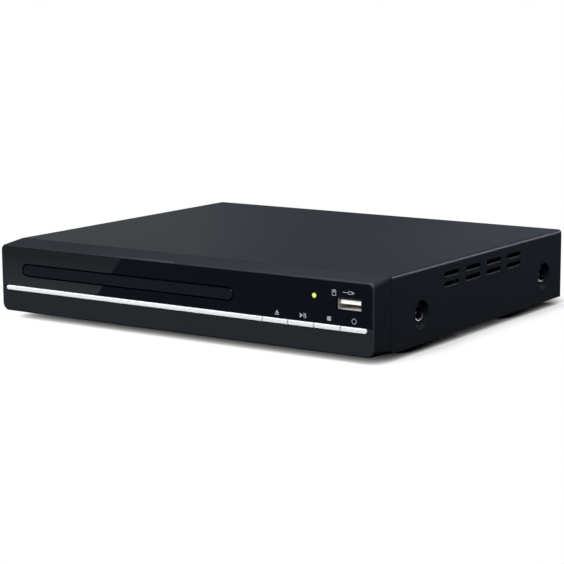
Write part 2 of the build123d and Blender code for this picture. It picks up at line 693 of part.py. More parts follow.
def rear_panel():
    """Rear wall with a foot on the base, socket openings, cooling slots and cover screw holes."""
    edge = COVER_SIDE - FIT
    top = COVER_INSIDE - FIT
    panel = span(-edge, edge, PANEL_IN, PANEL_OUT, BASE_TOP, top)
    panel += span(-edge, edge, PANEL_IN - PANEL_FOOT, PANEL_OUT, BASE_TOP, BASE_TOP + SHEET)
    openings = Sketch()
    for x in JACK_X:
        openings += Pos(x, JACK_Z) * Circle(JACK_COLLAR_R + FIT)
    openings += hdmi_outline(FIT)
    openings += Pos(INLET_X, INLET_Z) * Rectangle(INLET_W + FIT, INLET_H + FIT)
    slot = SlotOverall(REAR_SLOT_L, REAR_SLOT_W, rotation=90)
    for index in range(REAR_SLOTS):
        x = INLET_X - REAR_SLOT_OFFSET + index * REAR_SLOT_PITCH
        openings += Pos(x, INLET_Z + REAR_SLOT_RISE) * slot
    for x in (-REAR_SCREW_X, REAR_SCREW_X):
        openings += Pos(x, BODY_TOP - COVER_LIP / 2) * Circle(SCREW_HOLE_R)
    panel -= facing_front(openings, PANEL_IN - 1, PANEL_OUT + 1)
    for x in (-REAR_SCREW_X, 0, REAR_SCREW_X):
        panel -= upright(x, PANEL_IN - PANEL_FOOT / 2, SCREW_HOLE_R, BASE_TOP - 1, BASE_TOP + 2)
    return panel


# Front

def face_outline(inset):
    """Outline of the front face, drawn in by an inset."""
    return rounded_outline(BODY_W - 2 * inset, BODY_BOTTOM + FACE_RISE + inset, BODY_TOP - FACE_DROP - inset,
                           FACE_TOP_R - inset, FACE_BOTTOM_R - inset)


def fascia_outline(inset):
    """Part of the face above the strip's groove."""
    height = BODY_TOP - GROOVE_HIGH
    above = Pos(0, GROOVE_HIGH + height / 2) * Rectangle(BODY_W, height)
    return face_outline(inset) & above


def tray_slot(gap):
    """Pill-shaped outline of the tray slot, drawn in by a gap."""
    return Pos(TRAY_X, SLOT_Z) * SlotOverall(SLOT_W - 2 * gap, SLOT_H - 2 * gap)


def usb_opening(grow):
    """Front socket's outline."""
    return Pos(USB_X, USB_Z) * Rectangle(USB_W + 2 * grow, USB_H + 2 * grow)


def led_outline(grow):
    """Round lens with one flat side."""
    width = LED_R + LED_FLAT + 2 * grow
    cut = Pos(LED_X + LED_FLAT + grow - width / 2, LED_Z) * Rectangle(width, 2 * (LED_R + grow))
    return Pos(LED_X, LED_Z) * Circle(LED_R + grow) & cut


def button_left(index):
    """Left end of a button bar."""
    return BUTTON_END - (len(BUTTONS) - index) * BUTTON_PITCH


def front_board_bosses():
    """Places on the bezel that carry the front board."""
    return ((FRONT_BOARD_LEFT + 4.0, STRIP_Z + 4.0), (FRONT_BOARD_RIGHT - 3.0, LED_Z + 3.2))


def front_bezel():
    """Moulded front: lofted from the cover's section to a lower, rounder face, then hollowed."""
    seam = rounded_outline(BODY_W, BODY_BOTTOM, BODY_TOP, SEAM_R, SEAM_R)
    shell = loft([front_plane(0) * face_outline(0), front_plane(BEZEL_D) * seam])
    shell = fillet(shell.faces().sort_by(Axis.Y)[0].edges(), EDGE_R)
    inside = SIDE - BEZEL_WALL
    floor = BODY_BOTTOM + BEZEL_WALL
    shell -= span(-inside, inside, FRONT_WALL, BEZEL_D + 1, floor, BODY_TOP - BEZEL_TOP_WALL)
    shell -= span(-inside, inside, LOWER_WALL, FRONT_WALL + 1, floor, GROOVE_LOW - BEZEL_WALL)
    lip_side = COVER_SIDE - FIT
    lip_top = COVER_INSIDE - FIT
    lip = span(-lip_side, lip_side, BEZEL_D - 2, BEZEL_D + LIP_L, floor, lip_top)
    lip -= span(LIP_T - lip_side, lip_side - LIP_T, BEZEL_D - 3, BEZEL_D + LIP_L + 1,
                floor - 1, lip_top - LIP_T)
    shell += lip
    for x in bezel_bosses():
        shell += along_y(x, FRONT_SCREW_Z, BOSS_R, LOWER_WALL - 0.5, FLANGE_Y)
        shell -= along_y(x, FRONT_SCREW_Z, SHAFT_R, LOWER_WALL + 1, FLANGE_Y + 1)
    for x, z in front_board_bosses():
        shell += along_y(x, z, BOSS_R, FRONT_WALL - 0.5, FRONT_BOARD_Y)
        shell -= along_y(x, z, SHAFT_R, FRONT_WALL + 1, FRONT_BOARD_Y + 1)
    shell -= facing_front(fascia_outline(FASCIA_INSET - FASCIA_PLAY), -1, FASCIA_T)
    groove_w = 2 * (BUTTON_END + GROOVE_PLAY)
    groove = Pos(0, STRIP_Z) * SlotOverall(groove_w, STRIP_H + 2 * GROOVE_PLAY)
    shell -= facing_front(groove, -1, GROOVE_D)
    brow = Polygon((-BROW, GROOVE_LOW), (BROW, GROOVE_LOW), (-BROW, GROOVE_LOW - 2 * BROW))
    shell -= from_side(brow, -SIDE - 1, SIDE + 1)
    openings = tray_slot(0) + usb_opening(FIT) + led_outline(FIT)
    openings += Pos(IR_X, LED_Z) * Rectangle(IR_W + 2, IR_W + 2)
    for index in range(len(BUTTONS)):
        middle = button_left(index) + BUTTON_PITCH / 2
        openings += Pos(middle, STRIP_Z) * Rectangle(STEM_W + 2 * FIT, STEM_H + 2 * GROOVE_PLAY)
    return shell - facing_front(openings, -1, FRONT_WALL + 1)


def fascia_panel():
    """Gloss plate set into the bezel above the strip."""
    openings = tray_slot(0) + usb_opening(FIT) + led_outline(FASCIA_PLAY)
    return facing_front(fascia_outline(FASCIA_INSET) - openings, 0, FASCIA_T)


def strip_bar(left, right, back, round_left, round_right):
    """Bright bar across the groove, with a soft front and any round ends."""
    end_r = STRIP_H / 2
    start = left + end_r if round_left else left
    stop = right - end_r if round_right else right
    outline = Pos((start + stop) / 2, STRIP_Z) * Rectangle(stop - start, STRIP_H)
    if round_left:
        outline += Pos(start, STRIP_Z) * Circle(end_r)
    if round_right:
        outline += Pos(stop, STRIP_Z) * Circle(end_r)
    bar = facing_front(outline, -STRIP_PROUD, back)
    return fillet(bar.faces().sort_by(Axis.Y)[0].edges(), STRIP_EDGE_R)


def trim_strip():
    """Long bright bar left of the buttons, seated on the groove's floor."""
    return strip_bar(-SIDE + STRIP_MARGIN, button_left(0) - BUTTON_GAP, GROOVE_D, True, False)


def button(index):
    """Button bar with a stem through the bezel and a shoulder that keeps it in."""
    left = button_left(index)
    right = left + BUTTON_PITCH - BUTTON_GAP
    last = index == len(BUTTONS) - 1
    back = GROOVE_D - BUTTON_TRAVEL - BUTTON_REST
    tip = FRONT_BOARD_Y - SWITCH_H - PLUNGER_L - BUTTON_TRAVEL - BUTTON_REST
    middle = left + BUTTON_PITCH / 2
    shoulder = FRONT_WALL + BUTTON_REST
    cap = strip_bar(left, right, back, False, last)
    cap += facing_front(Pos(middle, STRIP_Z) * Rectangle(STEM_W, STEM_H), back, tip)
    return cap + facing_front(Pos(middle, STRIP_Z) * Rectangle(SHOULDER_W, SHOULDER_H),
                              shoulder, shoulder + SHOULDER_T)


def led_lens():
    """Light pipe from the front board to the face."""
    return facing_front(led_outline(0), 0, FRONT_BOARD_Y)


# Front board

def front_board():
    """Board behind the face, with the header of its ribbon."""
    low = STRIP_Z - SWITCH_W / 2 - 1.5
    high = BODY_TOP - BEZEL_TOP_WALL - 1.0
    outline = Pos((FRONT_BOARD_LEFT + FRONT_BOARD_RIGHT) / 2, (low + high) / 2)
    outline = outline * Rectangle(FRONT_BOARD_RIGHT - FRONT_BOARD_LEFT, high - low)
    for x, z in front_board_bosses():
        outline -= Pos(x, z) * Circle(AXLE_R)
    back = FRONT_BOARD_Y + BOARD_T
    header = Pos(RIBBON_X, SLOT_Z) * Rectangle(RIBBON_W + 2, HEADER_H)
    return facing_front(outline, FRONT_BOARD_Y, back) + facing_front(header, back - 0.2, back + HEADER_H)


def tact_switches():
    """Four small switches on the front board, each behind a button stem."""
    switches = []
    for index in range(len(BUTTONS)):
        middle = button_left(index) + BUTTON_PITCH / 2
        body_front = FRONT_BOARD_Y - SWITCH_H
        body = facing_front(Pos(middle, STRIP_Z) * RectangleRounded(SWITCH_W, SWITCH_W, SWITCH_CORNER_R),
                            body_front, FRONT_BOARD_Y)
        switches.append(body + along_y(middle, STRIP_Z, PLUNGER_R, body_front - PLUNGER_L, body_front + 0.5))
    return Compound(children=switches)


def ir_receiver():
    """Remote receiver with a domed window."""
    face = FRONT_BOARD_Y - IR_D
    body = facing_front(Pos(IR_X, LED_Z) * Rectangle(IR_W, IR_W), face, FRONT_BOARD_Y)
    return body + Pos(IR_X, face, LED_Z) * Sphere(IR_W / 2 - 0.4)


def usb_shell():
    """Folded sheet shell of the front socket."""
    return facing_front(usb_opening(0) - usb_opening(-USB_SHELL), FASCIA_T / 4, FRONT_BOARD_Y)


def usb_tongue():
    """Socket's contact tongue on its insulator block."""
    inside_w = USB_W - 2 * USB_SHELL - FIT
    inside_h = USB_H - 2 * USB_SHELL - FIT
    block = Pos(USB_X, USB_Z) * Rectangle(inside_w, inside_h)
    tongue_z = USB_Z + inside_h / 2 - USB_TONGUE_T / 2 - USB_TONGUE_GAP
    tongue = Pos(USB_X, tongue_z) * Rectangle(inside_w - 0.8, USB_TONGUE_T)
    root = FRONT_BOARD_Y - USB_INSULATOR
    return facing_front(block, root, FRONT_BOARD_Y) + facing_front(tongue, FASCIA_T, root + 0.5)


# Tray

def tray_door():
    """Pill-shaped front of the tray, flush with the fascia."""
    door = facing_front(tray_slot(DOOR_GAP), 0, DOOR_T)
    return fillet(door.faces().sort_by(Axis.Y)[0].edges(), DOOR_EDGE_R)


def disc_tray():
    """Tray with two disc recesses, a window open to the rear, skirts and a rack under its right side."""
    length = TRAY_REAR - DOOR_T
    outline = Pos(TRAY_X, DOOR_T + length / 2) * RectangleRounded(TRAY_W, length, TRAY_CORNER_R)
    tray = lying(outline, TRAY_BOTTOM, TRAY_TOP)
    inside = TRAY_W / 2 - TRAY_SKIRT
    front = DOOR_T + TRAY_NOSE
    tray -= span(TRAY_X - inside, TRAY_X + inside, front, TRAY_REAR + 1, TRAY_BOTTOM - 1, PLATE_UNDER_TRAY)
    corners = span(TRAY_X - inside, TRAY_X + inside, front, TRAY_REAR + 1, TRAY_BOTTOM - 1,
                   TRAY_TOP - TRAY_PLATE)
    tray -= corners - upright(TRAY_X, DISC_Y, RECESS_R + TRAY_PLATE, TRAY_BOTTOM - 2, TRAY_TOP)
    teeth_behind = int((TRAY_REAR - GEAR_Y) / (math.pi * RACK_MODULE))
    tray += lying(rack_outline(4, teeth_behind), TRAY_BOTTOM, TRAY_TOP - TRAY_PLATE / 2)
    tray -= upright(TRAY_X, DISC_Y, RECESS_R, TRAY_FLOOR, TRAY_TOP + 1)
    tray -= upright(TRAY_X, DISC_Y, SMALL_RECESS_R, TRAY_FLOOR - SMALL_RECESS_D, TRAY_TOP + 1)
    window = Pos(TRAY_X, DISC_Y) * Circle(WINDOW_W / 2)
    window += Pos(TRAY_X, (DISC_Y + TRAY_REAR + 1) / 2) * Rectangle(WINDOW_W, TRAY_REAR + 1 - DISC_Y)
    finger = RECESS_R - FINGER_R
    for side in (-1, 1):
        window += Pos(TRAY_X + side * finger, DISC_Y) * SlotOverall(4 * FINGER_R, 2 * FINGER_R, rotation=90)
    return tray - lying(window, TRAY_BOTTOM - 1, TRAY_TOP + 1)


# Loader frame and its gear train

def bridge_bosses():
    """Places outside the loader's walls that carry the clamp bridge."""
    reach = LOADER_OUT + BOSS_R * 0.7
    return [(TRAY_X + side * reach, DISC_Y + end * BRIDGE_SCREW) for side in (-1, 1) for end in (-1, 1)]


def loader_frame():
    """Moulded frame: railed walls, front and rear decks, gear posts, cam ribs and traverse bearings."""
    wall = ((LOADER_OUT, DECK_BOTTOM), (LOADER_OUT, WALL_TOP), (LOADER_IN, WALL_TOP), (LOADER_IN, RAIL_TOP),
            (LOADER_IN - RAIL_W, RAIL_TOP), (LOADER_IN - RAIL_W, RAIL_TOP - RAIL_T),
            (LOADER_IN, RAIL_TOP - RAIL_T - RAIL_W / 2), (LOADER_IN, DECK_TOP), (FLOOR_IN, DECK_TOP),
            (FLOOR_IN, DECK_BOTTOM))
    right = facing_front(make_face(Polyline(*wall, close=True)), LOADER_FRONT, LOADER_REAR)
    frame = Pos(TRAY_X, 0, 0) * (right + mirror(right, Plane.YZ))
    for front, back in ((LOADER_FRONT, DECK_END), (ROD_REAR - 4, LOADER_REAR)):
        frame += span(TRAY_X - LOADER_IN, TRAY_X + LOADER_IN, front, back, DECK_BOTTOM, DECK_TOP)
    hook_z = TRAY_TOP + FIT
    for side in (-1, 1):
        inner, outer = sorted((TRAY_X + side * (LOADER_IN - RAIL_W), TRAY_X + side * LOADER_OUT))
        for y in (LOADER_FRONT + HOOK_INSET, DISC_Y + HOOK_MIDDLE, LOADER_REAR - HOOK_L - 2):
            frame += span(inner, outer, y, y + HOOK_L, hook_z, hook_z + HOOK_T)
        near = PLATE_HALF + 1
        inner, outer = sorted((TRAY_X + side * near, TRAY_X + side * (near + BRACKET_T)))
        bearing = Pos(HINGE_Y, (DECK_BOTTOM + HINGE_Z) / 2) * Rectangle(2 * BEARING_R, HINGE_Z - DECK_BOTTOM)
        bearing += Pos(HINGE_Y, HINGE_Z) * Circle(BEARING_R)
        bearing -= Pos(HINGE_Y, HINGE_Z) * Circle(AXLE_R + RUNNING)
        frame += from_side(bearing, inner, outer)
    for x, y in loader_seats():
        frame += upright(x, y, EAR_R, DECK_BOTTOM, DECK_TOP)
        frame -= upright(x, y, SCREW_HOLE_R, DECK_BOTTOM - 1, DECK_TOP + 1)
    for x, y in bridge_bosses():
        frame += upright(x, y, BOSS_R, WALL_TOP - BRIDGE_BOSS_H, WALL_TOP)
        frame -= upright(x, y, SHAFT_R, WALL_TOP - BRIDGE_BOSS_H + 2, WALL_TOP + 1)
    for x, top in ((GEAR_X, RACK_GEAR_TOP), (PULLEY_X, PULLEY_TOP)):
        frame += upright(x, GEAR_Y, HUB_R, DECK_TOP - 0.5, LOW_GEAR_Z - FIT)
        frame += upright(x, GEAR_Y, AXLE_R, DECK_TOP, top)
    ring = Circle(MOTOR_R + FIT + MOTOR_RING) - Circle(MOTOR_R + FIT)
    frame += lying(Pos(MOTOR_X, MOTOR_Y) * ring, DECK_TOP - 0.5, DECK_TOP + 3)
    for y in (CAM_FRONT - FIT - CAM_RIB, CAM_BACK + FIT):
        frame += span(CAM_LEFT, CAM_RIGHT + CAM_TRAVEL, y, y + CAM_RIB, DECK_TOP - 0.5, DECK_TOP + CAM_RIB_H)
    return frame


def tray_gear():
    """Compound gear: its small teeth drive the rack, its large ones are driven by the pulley gear."""
    gear = lying(gear_outline(DRIVE_MODULE, DRIVE_GEAR_TEETH), LOW_GEAR_Z, LOW_GEAR_TOP)
    gear += lying(gear_outline(RACK_MODULE, RACK_GEAR_TEETH), RACK_GEAR_Z, RACK_GEAR_TOP)
    gear = Pos(GEAR_X, GEAR_Y, 0) * gear
    gear += upright(GEAR_X, GEAR_Y, HUB_R, LOW_GEAR_TOP - 0.5, RACK_GEAR_Z + 0.5)
    return gear - upright(GEAR_X, GEAR_Y, AXLE_R + RUNNING, LOW_GEAR_Z - 1, RACK_GEAR_TOP + 1)


def pulley_profile(radius, bore):
    """Radius and height profile of a grooved pulley."""
    floor_r = radius - GROOVE_DEPTH
    half = BELT_T / 2
    rim = 0.6
    return ((bore, PULLEY_Z), (radius, PULLEY_Z), (radius, PULLEY_Z + rim), (floor_r, BELT_Z - half),
            (floor_r, BELT_Z + half), (radius, PULLEY_TOP - rim), (radius, PULLEY_TOP), (bore, PULLEY_TOP))


def pulley_gear():
    """Belt pulley with a pinion under it."""
    half_tooth = 180.0 / PINION_TEETH
    pinion = Rot(0, 0, half_tooth) * gear_outline(DRIVE_MODULE, PINION_TEETH)
    gear = Pos(PULLEY_X, GEAR_Y, 0) * lying(pinion, LOW_GEAR_Z, LOW_GEAR_TOP)
    gear += upright(PULLEY_X, GEAR_Y, HUB_R, LOW_GEAR_TOP - 0.5, PULLEY_Z + 0.5)
    gear += turned(PULLEY_X, GEAR_Y, pulley_profile(BIG_PULLEY_R, AXLE_R + RUNNING))
    return gear - upright(PULLEY_X, GEAR_Y, AXLE_R + RUNNING, LOW_GEAR_Z - 1, PULLEY_TOP + 1)


def loading_motor():
    """Small motor standing on the deck, open at the top for its shaft."""
    top = DECK_TOP + MOTOR_H
    bore = SHAFT_R + RUNNING
    profile = ((0, DECK_TOP), (MOTOR_R, DECK_TOP), (MOTOR_R, top - 1), (MOTOR_R - 1, top), (HUB_R, top),
               (HUB_R, top + 0.6), (bore, top + 0.6), (bore, DECK_TOP + 2), (0, DECK_TOP + 2))
    return turned(MOTOR_X, MOTOR_Y, profile)


def motor_pulley():
    """Motor shaft with its small belt pulley."""
    pulley = turned(MOTOR_X, MOTOR_Y, pulley_profile(SMALL_PULLEY_R, SHAFT_R / 2))
    return pulley + upright(MOTOR_X, MOTOR_Y, SHAFT_R, DECK_TOP + 2 + RUNNING, PULLEY_TOP + 0.6)


def belt_outline(grow):
    """Loop round both pulleys, a little outside their groove floors."""
    rounds = Sketch()
    rounds += Pos(PULLEY_X, GEAR_Y) * Circle(BIG_PULLEY_R - GROOVE_DEPTH + RUNNING + grow)
    rounds += Pos(MOTOR_X, MOTOR_Y) * Circle(SMALL_PULLEY_R - GROOVE_DEPTH + RUNNING + grow)
    return make_hull(rounds.edges())


def drive_belt():
    """Square rubber belt between the motor and the pulley gear."""
    half = BELT_T / 2 - RUNNING
    return lying(belt_outline(BELT_T) - belt_outline(0), BELT_Z - half, BELT_Z + half)


def cam_slider():
    """Upright plate whose sloped slot carries the traverse's front pin."""
    low = DECK_TOP + FIT
    high = TRAY_BOTTOM - FIT
    place = Pos((CAM_LEFT + CAM_RIGHT) / 2, (low + high) / 2)
    plate = place * RectangleRounded(CAM_RIGHT - CAM_LEFT, high - low, 1.0)
    slope = math.degrees(math.atan2(CAM_DROP, CAM_TRAVEL))
    slot = SlotCenterToCenter(math.hypot(CAM_DROP, CAM_TRAVEL), 2 * (CAM_PIN_R + CAM_PLAY), rotation=slope)
    plate -= Pos(CAM_PIN_X - CAM_TRAVEL / 2, CAM_PIN_Z - CAM_DROP / 2) * slot
    return facing_front(plate, CAM_FRONT, CAM_BACK)


# Clamp above the disc

def clamp_bridge():
    """Sheet bridge across the loader's walls, with a hole for the puck and turned-up edges."""
    reach = LOADER_OUT + 2 * BOSS_R
    plate = Pos(TRAY_X, DISC_Y) * RectangleRounded(2 * reach, 2 * BRIDGE_HALF, 3.0)
    plate -= Pos(TRAY_X, DISC_Y) * Circle(PUCK_R + 2 * FIT)
    for x, y in bridge_bosses():
        plate -= Pos(x, y) * Circle(SCREW_HOLE_R)
    bridge = lying(plate, WALL_TOP, BRIDGE_TOP)
    for end in (-1, 1):
        front, back = sorted((DISC_Y + end * BRIDGE_HALF, DISC_Y + end * (BRIDGE_HALF - BRIDGE_T)))
        bridge += span(TRAY_X - LOADER_IN + 8, TRAY_X + LOADER_IN - 8, front, back, WALL_TOP, BRIDGE_TOP + 2)
    return bridge


def clamp_puck():
    """Clamp that hangs in the bridge and turns with the disc."""
    bottom = DISC_SEAT + 1.4
    shoulder = BRIDGE_TOP + FIT
    recess_r = CENTRING_R + 0.9
    profile = ((0, bottom + 2), (recess_r, bottom + 2), (recess_r, bottom), (PUCK_R, bottom),
               (PUCK_R, shoulder), (PUCK_FLANGE_R, shoulder), (PUCK_FLANGE_R, shoulder + 1.2),
               (PUCK_R - 1.5, shoulder + 1.2), (PUCK_R - 2.5, shoulder + 2.6), (0, shoulder + 2.6))
    return turned(TRAY_X, DISC_Y, profile)


# Traverse

def traverse_plate():
    """Tilting plate with rod brackets, a window for the pickup, a front pin and rear pivots."""
    length = PLATE_REAR - PLATE_FRONT
    outline = Pos(TRAY_X, PLATE_FRONT + length / 2) * RectangleRounded(2 * PLATE_HALF, length, 3.0)
    window_front = DISC_Y + STATOR_R + 2
    window_l = ROD_REAR - 4 - window_front
    outline -= Pos(TRAY_X, window_front + window_l / 2) * RectangleRounded(2 * PICKUP_HALF - 4, window_l, 4.0)
    plate = lying(outline, PLATE_BOTTOM, PLATE_TOP)
    upstand = PLATE_FRONT + PLATE_T
    pin_left = CAM_PIN_X - UPSTAND_W / 2
    pin_right = CAM_PIN_X + UPSTAND_W / 2
    plate += span(pin_left, pin_right, PLATE_FRONT, upstand, PLATE_BOTTOM, CAM_PIN_Z + 2)
    plate += along_y(CAM_PIN_X, CAM_PIN_Z, CAM_PIN_R, CAM_FRONT - FIT, upstand)
    for y in (ROD_FRONT, ROD_REAR):
        for side in (-1, 1):
            bracket = Pos(TRAY_X + side * ROD_OFFSET, (PLATE_TOP + ROD_Z) / 2)
            bracket = bracket * Rectangle(2 * BRACKET_R, ROD_Z - PLATE_TOP)
            bracket += Pos(TRAY_X + side * ROD_OFFSET, ROD_Z) * Circle(BRACKET_R)
            bracket -= Pos(TRAY_X + side * ROD_OFFSET, ROD_Z) * Circle(ROD_R + RUNNING)
            plate += facing_front(bracket, y, y + BRACKET_T)
    for y in (ROD_FRONT + SLED_MOTOR_L + FIT / 2, ROD_REAR):
        post = Pos(SCREW_X, (PLATE_TOP + SCREW_Z) / 2) * Rectangle(2 * POST_R, SCREW_Z - PLATE_TOP)
        post += Pos(SCREW_X, SCREW_Z) * Circle(POST_R)
        post -= Pos(SCREW_X, SCREW_Z) * Circle(SCREW_R + RUNNING)
        plate += facing_front(post, y, y + BRACKET_T / 2)
    for side in (-1, 1):
        far = PLATE_HALF + 2 + BRACKET_T
        inner, outer = sorted((TRAY_X + side * (PLATE_HALF - 3), TRAY_X + side * far))
        plate += along_x(HINGE_Y, HINGE_Z, AXLE_R, inner, outer)
    return plate


def spindle_motor():
    """Fixed part of the spindle motor: base disc and coil core with a bearing bore."""
    core_r = ROTOR_R - 1.5
    bore = AXLE_R + RUNNING
    base = PLATE_TOP
    step = base + STATOR_BASE
    top = base + STATOR_H
    profile = ((bore, base), (STATOR_R, base), (STATOR_R, step), (core_r, step), (core_r, top), (bore, top))
    return turned(TRAY_X, DISC_Y, profile)


def turntable():
    """Rotor bell, disc seat and centring cone on one shaft."""
    foot = PLATE_TOP + FIT
    edge = PLATE_TOP + ROTOR_RISE
    top = PLATE_TOP + ROTOR_H
    roof = top - ROTOR_ROOF
    inner_r = ROTOR_R - ROTOR_WALL
    waist_r = TURNTABLE_R - WAIST_STEP
    rim = DISC_SEAT - TURNTABLE_T
    tip = DISC_SEAT + CONE_H
    profile = ((0, foot), (AXLE_R, foot), (AXLE_R, roof), (inner_r, roof), (inner_r, edge), (ROTOR_R, edge),
               (ROTOR_R, top), (waist_r, top), (waist_r, rim - TURNTABLE_TAPER), (TURNTABLE_R, rim),
               (TURNTABLE_R, DISC_SEAT), (CENTRING_R, DISC_SEAT), (CENTRING_R - 0.9, tip - 0.4),
               (CENTRING_R - 4, tip), (0, tip))
    return turned(TRAY_X, DISC_Y, profile)


def guide_rods():
    """Two steel rods that carry the pickup."""
    back = ROD_REAR + BRACKET_T
    places = [TRAY_X + side * ROD_OFFSET for side in (-1, 1)]
    return Compound(children=[along_y(x, ROD_Z, ROD_R, ROD_FRONT, back) for x in places])


def pickup_sled():
    """Pickup body on two bushes, with a nut arm on the lead screw and a front hollowed for the spindle."""
    front = LENS_Y - PICKUP_FRONT
    back = LENS_Y + PICKUP_BACK
    low = PLATE_TOP + PICKUP_LIFT
    high = DISC_SEAT - PICKUP_DROP
    outline = Pos(TRAY_X, (front + back) / 2) * RectangleRounded(2 * PICKUP_HALF, back - front, 3.0)
    outline -= Pos(TRAY_X, DISC_Y) * Circle(TURNTABLE_R + 1)
    sled = lying(outline, low, high)
    lens = Pos(TRAY_X, LENS_Y)
    sled -= lying(lens * Rectangle(LENS_WELL_W, LENS_WELL_L), high - 1.2, high + 1)
    sled += lying(lens * RectangleRounded(LENS_MOUNT_W, LENS_MOUNT_L, 1.5), high - 1.4, high + 0.6)
    for side in (-1, 1):
        sled += along_y(TRAY_X + side * ROD_OFFSET, ROD_Z, ROD_R + BUSH_WALL, front + 4, back)
        inner, outer = sorted((TRAY_X + side * (PICKUP_HALF - 1), TRAY_X + side * (ROD_OFFSET - 1)))
        sled += span(inner, outer, front + 4, back, ROD_Z - 1.2, ROD_Z + 1.2)
    arm_front = LENS_Y - 1
    arm_back = arm_front + NUT_L
    sled += span(SCREW_X, TRAY_X - ROD_OFFSET, arm_front, arm_back, SCREW_Z - 1.0, SCREW_Z + 1.0)
    sled += along_y(SCREW_X, SCREW_Z, SCREW_R + NUT_WALL, arm_front, arm_back)
    for side in (-1, 1):
        sled -= along_y(TRAY_X + side * ROD_OFFSET, ROD_Z, ROD_R + RUNNING, front - 1, back + 1)
    return sled - along_y(SCREW_X, SCREW_Z, SCREW_R + RUNNING, arm_front - 1, arm_back + 1)


def objective_lens():
    """Small domed lens on the pickup."""
    seat = DISC_SEAT - 2.8
    profile = ((0, seat), (LENS_R, seat), (LENS_R, seat + 0.5), (LENS_R * 0.6, seat + 0.9), (0, seat + 1.0))
    return turned(TRAY_X, LENS_Y, profile)


def lead_screw():
    """Screw that moves the pickup, from the sled motor to its rear post."""
    return along_y(SCREW_X, SCREW_Z, SCREW_R, ROD_FRONT + SCREW_INSET, ROD_REAR + BRACKET_T / 2)


def sled_motor():
    """Small stepper at the front of the lead screw."""
    front = ROD_FRONT + FIT / 2
    back = front + SLED_MOTOR_L
    socket = ROD_FRONT + SCREW_INSET - RUNNING
    motor = along_y(SCREW_X, SCREW_Z, SLED_MOTOR_R, front, back)
    return motor - along_y(SCREW_X, SCREW_Z, SCREW_R + RUNNING, socket, back + 1)


# Main board

def main_board():
    """Board behind the loader, with the headers of its two ribbons."""
    outline = Pos((MAIN_LEFT + MAIN_RIGHT) / 2, (MAIN_FRONT + MAIN_BACK) / 2)
    outline = outline * Rectangle(MAIN_RIGHT - MAIN_LEFT, MAIN_BACK - MAIN_FRONT)
    for x, y in main_board_seats():
        outline -= Pos(x, y) * Circle(SCREW_HOLE_R)
    board = lying(outline, BOARD_BOTTOM, BOARD_TOP)
    for x, y, width, length in ((RIBBON_X, RIBBON_END, RIBBON_W, HEADER_H), power_header(MAIN_HEADER_X)):
        board += lying(Pos(x, y) * Rectangle(width, length), BOARD_TOP - 0.2, BOARD_TOP + HEADER_H)
    return board


def power_header(x):
    """Place and size of a header of the power ribbon."""
    return x, RIBBON_END, HEADER_H, RIBBON_W


def decoder_place():
    """Middle of the decoder, between the jacks and the headers."""
    return JACK_X[-1] + JACK_PITCH / 2 + DECODER_W / 2 + 3, (MAIN_FRONT + MAIN_BACK) / 2


def board_chips():
    """Decoder and memory packages."""
    chips = []
    x, y = decoder_place()
    memory_y = MAIN_FRONT + 5
    for left, middle, width, length in ((x, y, DECODER_W, DECODER_L), (JACK_X[1], memory_y, 12.0, 7.0),
                                        (JACK_X[3], memory_y, 8.0, 7.0)):
        package = Pos(left, middle) * RectangleRounded(width, length, 0.5)
        chips.append(lying(package, BOARD_TOP, BOARD_TOP + CHIP_T))
    return Compound(children=chips)


def heat_sink():
    """Finned sink on the decoder."""
    x, y = decoder_place()
    low = BOARD_TOP + CHIP_T
    fins = Pos(x, low + SINK_BASE / 2) * Rectangle(DECODER_W, SINK_BASE)
    middle = low + SINK_BASE / 2 + FIN_H / 2
    pitch = (DECODER_W - FIN_T) / (FINS - 1)
    for index in range(FINS):
        fins += Pos(x + (index - (FINS - 1) / 2) * pitch, middle) * Rectangle(FIN_T, FIN_H)
    return facing_front(fins, y - DECODER_L / 2, y + DECODER_L / 2)


def board_capacitors():
    """Row of small upright capacitors."""
    cans = []
    for index in range(SMALL_CANS):
        x = MAIN_LEFT + 9 + index * SMALL_CAN_PITCH
        cans.append(turned(x, MAIN_FRONT + SMALL_CAN_R + 1.5, can_profile(SMALL_CAN_R, SMALL_CAN_H)))
    return Compound(children=cans)


def can_profile(radius, height):
    """Radius and height profile of a capacitor standing on its board."""
    top = BOARD_TOP + height
    return ((0, BOARD_TOP), (radius, BOARD_TOP), (radius, BOARD_TOP + 1), (radius - 0.3, BOARD_TOP + 1.4),
            (radius, BOARD_TOP + 1.8), (radius, top - 0.4), (radius - 0.4, top), (0, top))


def hdmi_shell():
    """Sheet shell of the picture socket."""
    return facing_front(hdmi_outline(0) - hdmi_outline(-HDMI_SHELL), SOCKET_BACK - HDMI_D, SOCKET_BACK)


def hdmi_tongue():
    """Contact tongue of the picture socket on its insulator block."""
    front = SOCKET_BACK - HDMI_D
    tongue = Pos(HDMI_X, BOARD_TOP + HDMI_H / 2 + 0.4) * Rectangle(HDMI_W - 3.4, 1.2)
    insulator = facing_front(hdmi_outline(-HDMI_SHELL - FIT), front, front + 2.5)
    return insulator + facing_front(tongue, front + 2.0, SOCKET_BACK - 1.2)


def jack_block():
    """Housing of the phono jacks on the main board."""
    left = JACK_X[0] - JACK_PITCH / 2
    right = JACK_X[-1] + JACK_PITCH / 2
    front = MAIN_FRONT + JACK_SETBACK
    profile = Pos((front + JACK_FRONT) / 2, BOARD_TOP + JACK_RISE)
    block = from_side(profile * Rectangle(JACK_FRONT - front, 2 * JACK_RISE), left, right)
    return chamfer(block.edges().filter_by(Axis.X).group_by(Axis.Z)[-1].sort_by(Axis.Y)[0], JACK_SLOPE)


